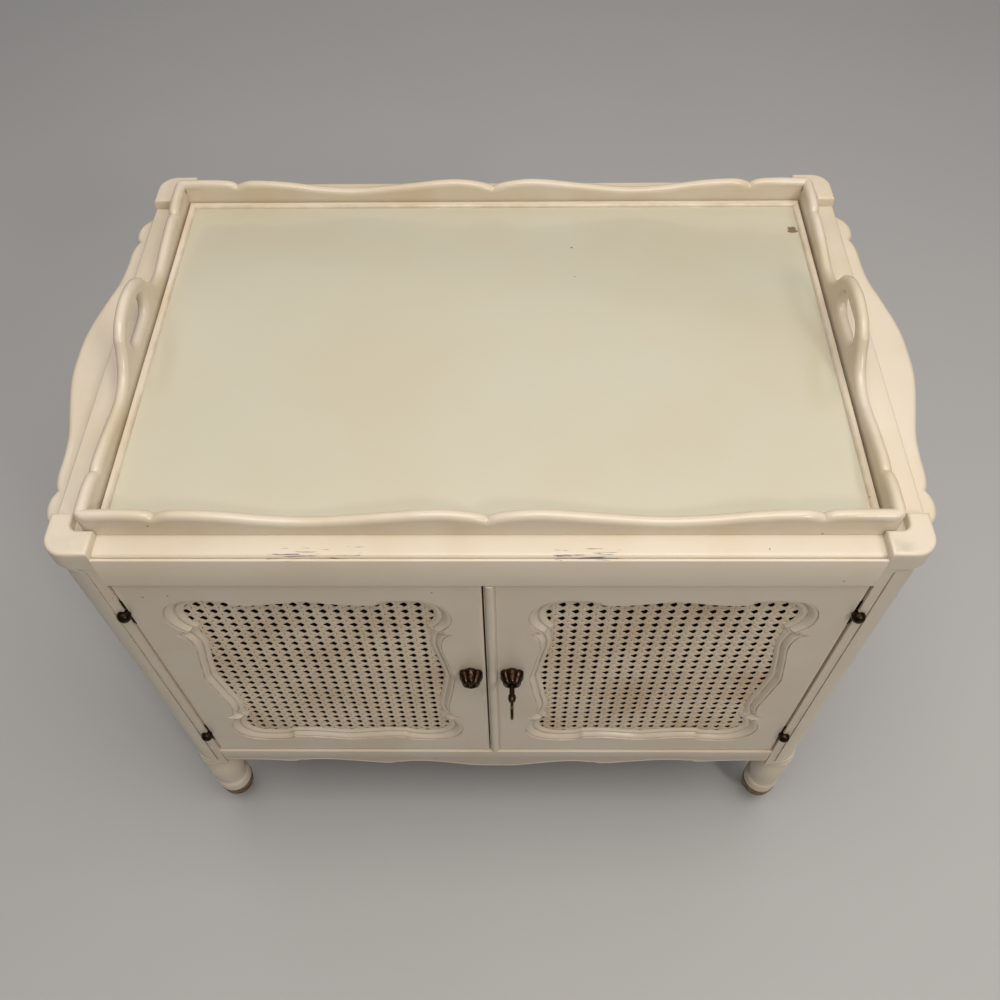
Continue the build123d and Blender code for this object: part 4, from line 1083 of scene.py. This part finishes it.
# %% [markdown]
# ## Rosettes and key
# Both doors carry a small cast brass flower. The right-hand one is the keyhole
# plate, and the key stands in it with its flat bow on edge. The flower is a
# stack of rings whose reach and height follow the petals.

# %% Cast rosettes
FLOWER = [(0.86, 0), (0.96, 0.5), (1.0, 1.4), (1.0, 3.2), (0.96, 5.4), (0.89, 7.2), (0.81, 8.6),
          (0.80, 9.4), (0.77, 11.0), (0.69, 12.9), (0.59, 14.3), (0.50, 14.9), (0.43, 14.5), (0.37, 13.2),
          (0.33, 12.0), (0.30, 11.6)]
BOSS = [(0.25, 12.2), (0.21, 13.1), (0.15, 13.7), (0.05, 13.9)]
KEYHOLE = [(0.27, 11.5), (0.25, 11.2), (0.245, 10.6), (0.245, 0)]
PETALS, AROUND = 6, 96
PETAL_START, PETAL_CUT, PETAL_DROP, RIB = 0.36, 0.22, 0.10, 0.25
RIB_FROM = 9


def rosette(node, body, name, pierced):
    """A flower: petals that swell outwards and then dip round a boss, or round the key's hole."""
    low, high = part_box(node)
    cx, cz, radius = (low.x + high.x) / 2, (low.z + high.z) / 2, (high.z - low.z) / 2
    a = np.linspace(0, 2 * math.pi, AROUND + 1)[:-1]
    dip = 1 - np.abs(np.cos(PETALS / 2 * (a - math.pi / 2))) ** 0.6
    rings = []
    for share, height in FLOWER + (KEYHOLE if pierced else BOSS):
        petal = max(0.0, min(1.0, (share - PETAL_START) / 0.5))
        reach = radius * share * (1 - PETAL_CUT * petal * dip)
        rib = RIB * np.cos(2 * PETALS * a) * petal if height > RIB_FROM else 0
        tip = height * (1 - PETAL_DROP * petal * dip) + rib
        rings.append(np.c_[cx + reach * np.cos(a), high.y - tip * MM, cz + reach * np.sin(a)])
    shape = Shape()
    made = shape.stack(rings)
    if pierced:
        shape.join(made[-1], made[0])
    else:
        shape.ends(made, (0, 2))
    finish_piece(shape, name, body, [node], old_brass, angle=60)


rosette("left_rosette", "left_door", "left_flower_plate", False)
rosette("right_rosette", "right_door", "right_flower_plate", True)

# %% The key
KEY_PROFILE = [(0, 0), (1.9, 0), (2.5, 0.6), (2.7, 1.4), (2.7, 51.2), (3.4, 51.7), (4.0, 52.6),
               (4.0, 56.0), (3.4, 57.9), (2.6, 59.3), (1.7, 60.2), (0, 60.6)]
BOW, BOW_STRETCH = 0.010, 1.15
BOW_IN, BOW_ROUND, BOW_THIN, INTO_BOW = 0.0022, 0.0021, 0.0016, 0.003
low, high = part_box("key")
kx, kz = (low.x + high.x) / 2, (low.z + high.z) / 2
bow_y = low.y + BOW
span = high.y - (bow_y + BOW - INTO_BOW)
shape = Shape()
shape.lathe([(r * MM, -d * span / KEY_PROFILE[-1][1]) for r, d in KEY_PROFILE], (kx, high.y, kz), 32, axis=1)
a = np.linspace(0, 2 * math.pi, 49)[:-1]
bow_rings = []
for turn in np.linspace(0, 2 * math.pi, 13)[:-1]:
    narrow = BOW_ROUND * math.cos(turn) - BOW_IN
    x = np.full(len(a), kx + BOW_THIN * math.sin(turn))
    y, z = bow_y + (BOW + narrow) * np.cos(a), kz + (BOW_STRETCH * BOW + narrow) * np.sin(a)
    bow_rings.append(np.c_[x, y, z])
made = shape.stack(bow_rings)
shape.join(made[-1], made[0])
finish_piece(shape, "key_turned", "key", ["key"], old_brass, angle=50)

# %% [markdown]
# ## Boards and fittings that keep their shape
# The boards inside, the ball hinges, the lock and the caster forks are already
# the right shape in the working model, so they only need their finish.

# %% Ledge screws, with Geometry Nodes
def screw_tree():
    kit, given = node_tree("screws in a row", {"Pitch": 0.12, "Radius": 0.0045, "Depth": 0.002, "Count": 4})
    count, pitch, radius = given["Count"], given["Pitch"], given["Radius"]
    start = kit.vector(y=(count - 1.0) * pitch * -0.5)
    row = kit.node("GeometryNodeMeshLine", {
        "Count": count, "Start Location": start, "Offset": kit.vector(y=pitch)})
    head = kit.node("GeometryNodeMeshCone", {
        "Vertices": 20, "Radius Top": radius * 0.8, "Radius Bottom": radius, "Depth": given["Depth"]})
    heads = kit.node("GeometryNodeInstanceOnPoints", {
        "Points": row, "Instance": head, "Rotation": (0.0, -math.pi / 2, 0.0)})
    return close_tree(kit, heads, given["Finish"])


SCREW_DEPTH = 0.002
low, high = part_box("ledge_screws")
screws = screw_tree()
both = bmesh.new()
for _, sx in SIDES:
    data = grow(screws, "screw_row", depth=SCREW_DEPTH, radius=0.0045, pitch=0.12, count=4, finish=lock_steel)
    turn = Matrix.Identity(4) if sx > 0 else Matrix.Rotation(math.pi, 4, "Z")
    data.transform(Matrix.Translation((sx * (high.x - SCREW_DEPTH / 2), mid_y, (low.z + high.z) / 2)) @ turn)
    both.from_mesh(data)
data = bpy.data.meshes.new("screws")
both.to_mesh(data)
both.free()
finish_piece(data, "ledge_screw_heads", "cabinet", ["ledge_screws"], lock_steel)

# %% Finishes for the pieces that stay
keep = {
    # The boards inside take the near-black paint, painted shade behind the cane.
    inside: ["top_board", "bottom_board", "shelf", "back_panel", "shelf_pegs"],
    old_brass: ["hinge_post_halves", "left_door_hinge_halves", "right_door_hinge_halves"],
    caster_brass: [f"{corner}_fork" for corner, _, _ in CORNERS],
    lock_steel: ["lock_case", "lock_bolt", "strike", "flush_bolt"],
}
for finish, nodes in keep.items():
    for node in nodes:
        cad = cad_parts[node]
        if len(cad.material_slots) == 0:
            cad.data.materials.append(finish)
        for slot_at in cad.material_slots:
            slot_at.material = finish
print("kept:", sum(len(v) for v in keep.values()), "nodes")

# %% [markdown]
# ## Floor, light and camera
# A pale floor, a wide soft light for the room, a smaller one over the tray's
# front and a gentle one from the front right give the calm light of a bright
# workshop. The camera stands close and looks steeply down into the tray.

# %% Studio
def area_light(name, place, aim, size, power, colour):
    light = bpy.data.lights.new(name, "AREA")
    light.shape = "RECTANGLE"
    light.size, light.size_y = size
    light.energy = power
    light.color = colour
    lamp = linked(name, light)
    lamp.location = place
    lamp.rotation_mode = "QUATERNION"
    lamp.rotation_quaternion = (Vector(aim) - Vector(place)).to_track_quat("-Z", "Y")


studio = Finish("pale studio floor")
tone = studio.noise(0.5, detail=2.0)
studio.cover(Base_Color=studio.mix(tone, (0.54, 0.54, 0.54, 1), (0.58, 0.58, 0.575, 1)), Roughness=0.7)
floor_data = bpy.data.meshes.new("studio_floor")
floor_data.from_pydata([(-8, -8, 0), (8, -8, 0), (8, 8, 0), (-8, 8, 0)], [], [(0, 1, 2, 3)])
floor_data.materials.append(studio.material)
linked("studio_floor", floor_data)

area_light("ceiling", (0.3, 0.6, 3.4), (0.3, 0.6, 0), (5.2, 6.0), 80, (1.0, 0.96, 0.92))
area_light("overhead", (0.25, -0.45, 2.2), (0.25, -0.45, 0), (1.4, 1.0), 15, (1.0, 0.945, 0.88))
area_light("front_right", (1.45, -2.2, 2.4), (0, mid_y, 0.4), (0.45, 0.45), 18, (1.0, 0.94, 0.86))
world = bpy.data.worlds.new("soft room")
bpy.context.scene.world = world
world.use_nodes = True
world.node_tree.nodes["Background"].inputs["Color"].default_value = (0.95, 0.96, 1.0, 1)
world.node_tree.nodes["Background"].inputs["Strength"].default_value = 0.06
print("lights set")

# %% Camera
CAMERA_PLACE = (0.01975, -0.64729, 1.33553)
YAW, PITCH, ROLL = -0.020249, 0.959801, -0.017396
camera_data = bpy.data.cameras.new("camera")
camera_data.lens, camera_data.sensor_width = 34.726, 36.0
camera = linked("camera", camera_data)
forward = Vector((math.sin(YAW) * math.cos(PITCH), math.cos(YAW) * math.cos(PITCH), -math.sin(PITCH)))
level_right = Vector((math.cos(YAW), -math.sin(YAW), 0))
level_up = level_right.cross(forward)
right_way = math.cos(ROLL) * level_right + math.sin(ROLL) * level_up
up_way = -math.sin(ROLL) * level_right + math.cos(ROLL) * level_up
turn = Matrix((right_way, up_way, -forward)).transposed()
camera.matrix_world = Matrix.Translation(CAMERA_PLACE) @ turn.to_4x4()
bpy.context.scene.camera = camera
bpy.context.scene.view_settings.view_transform = "Standard"
print("camera set")

# %% End
bpy.context.view_layer.update()
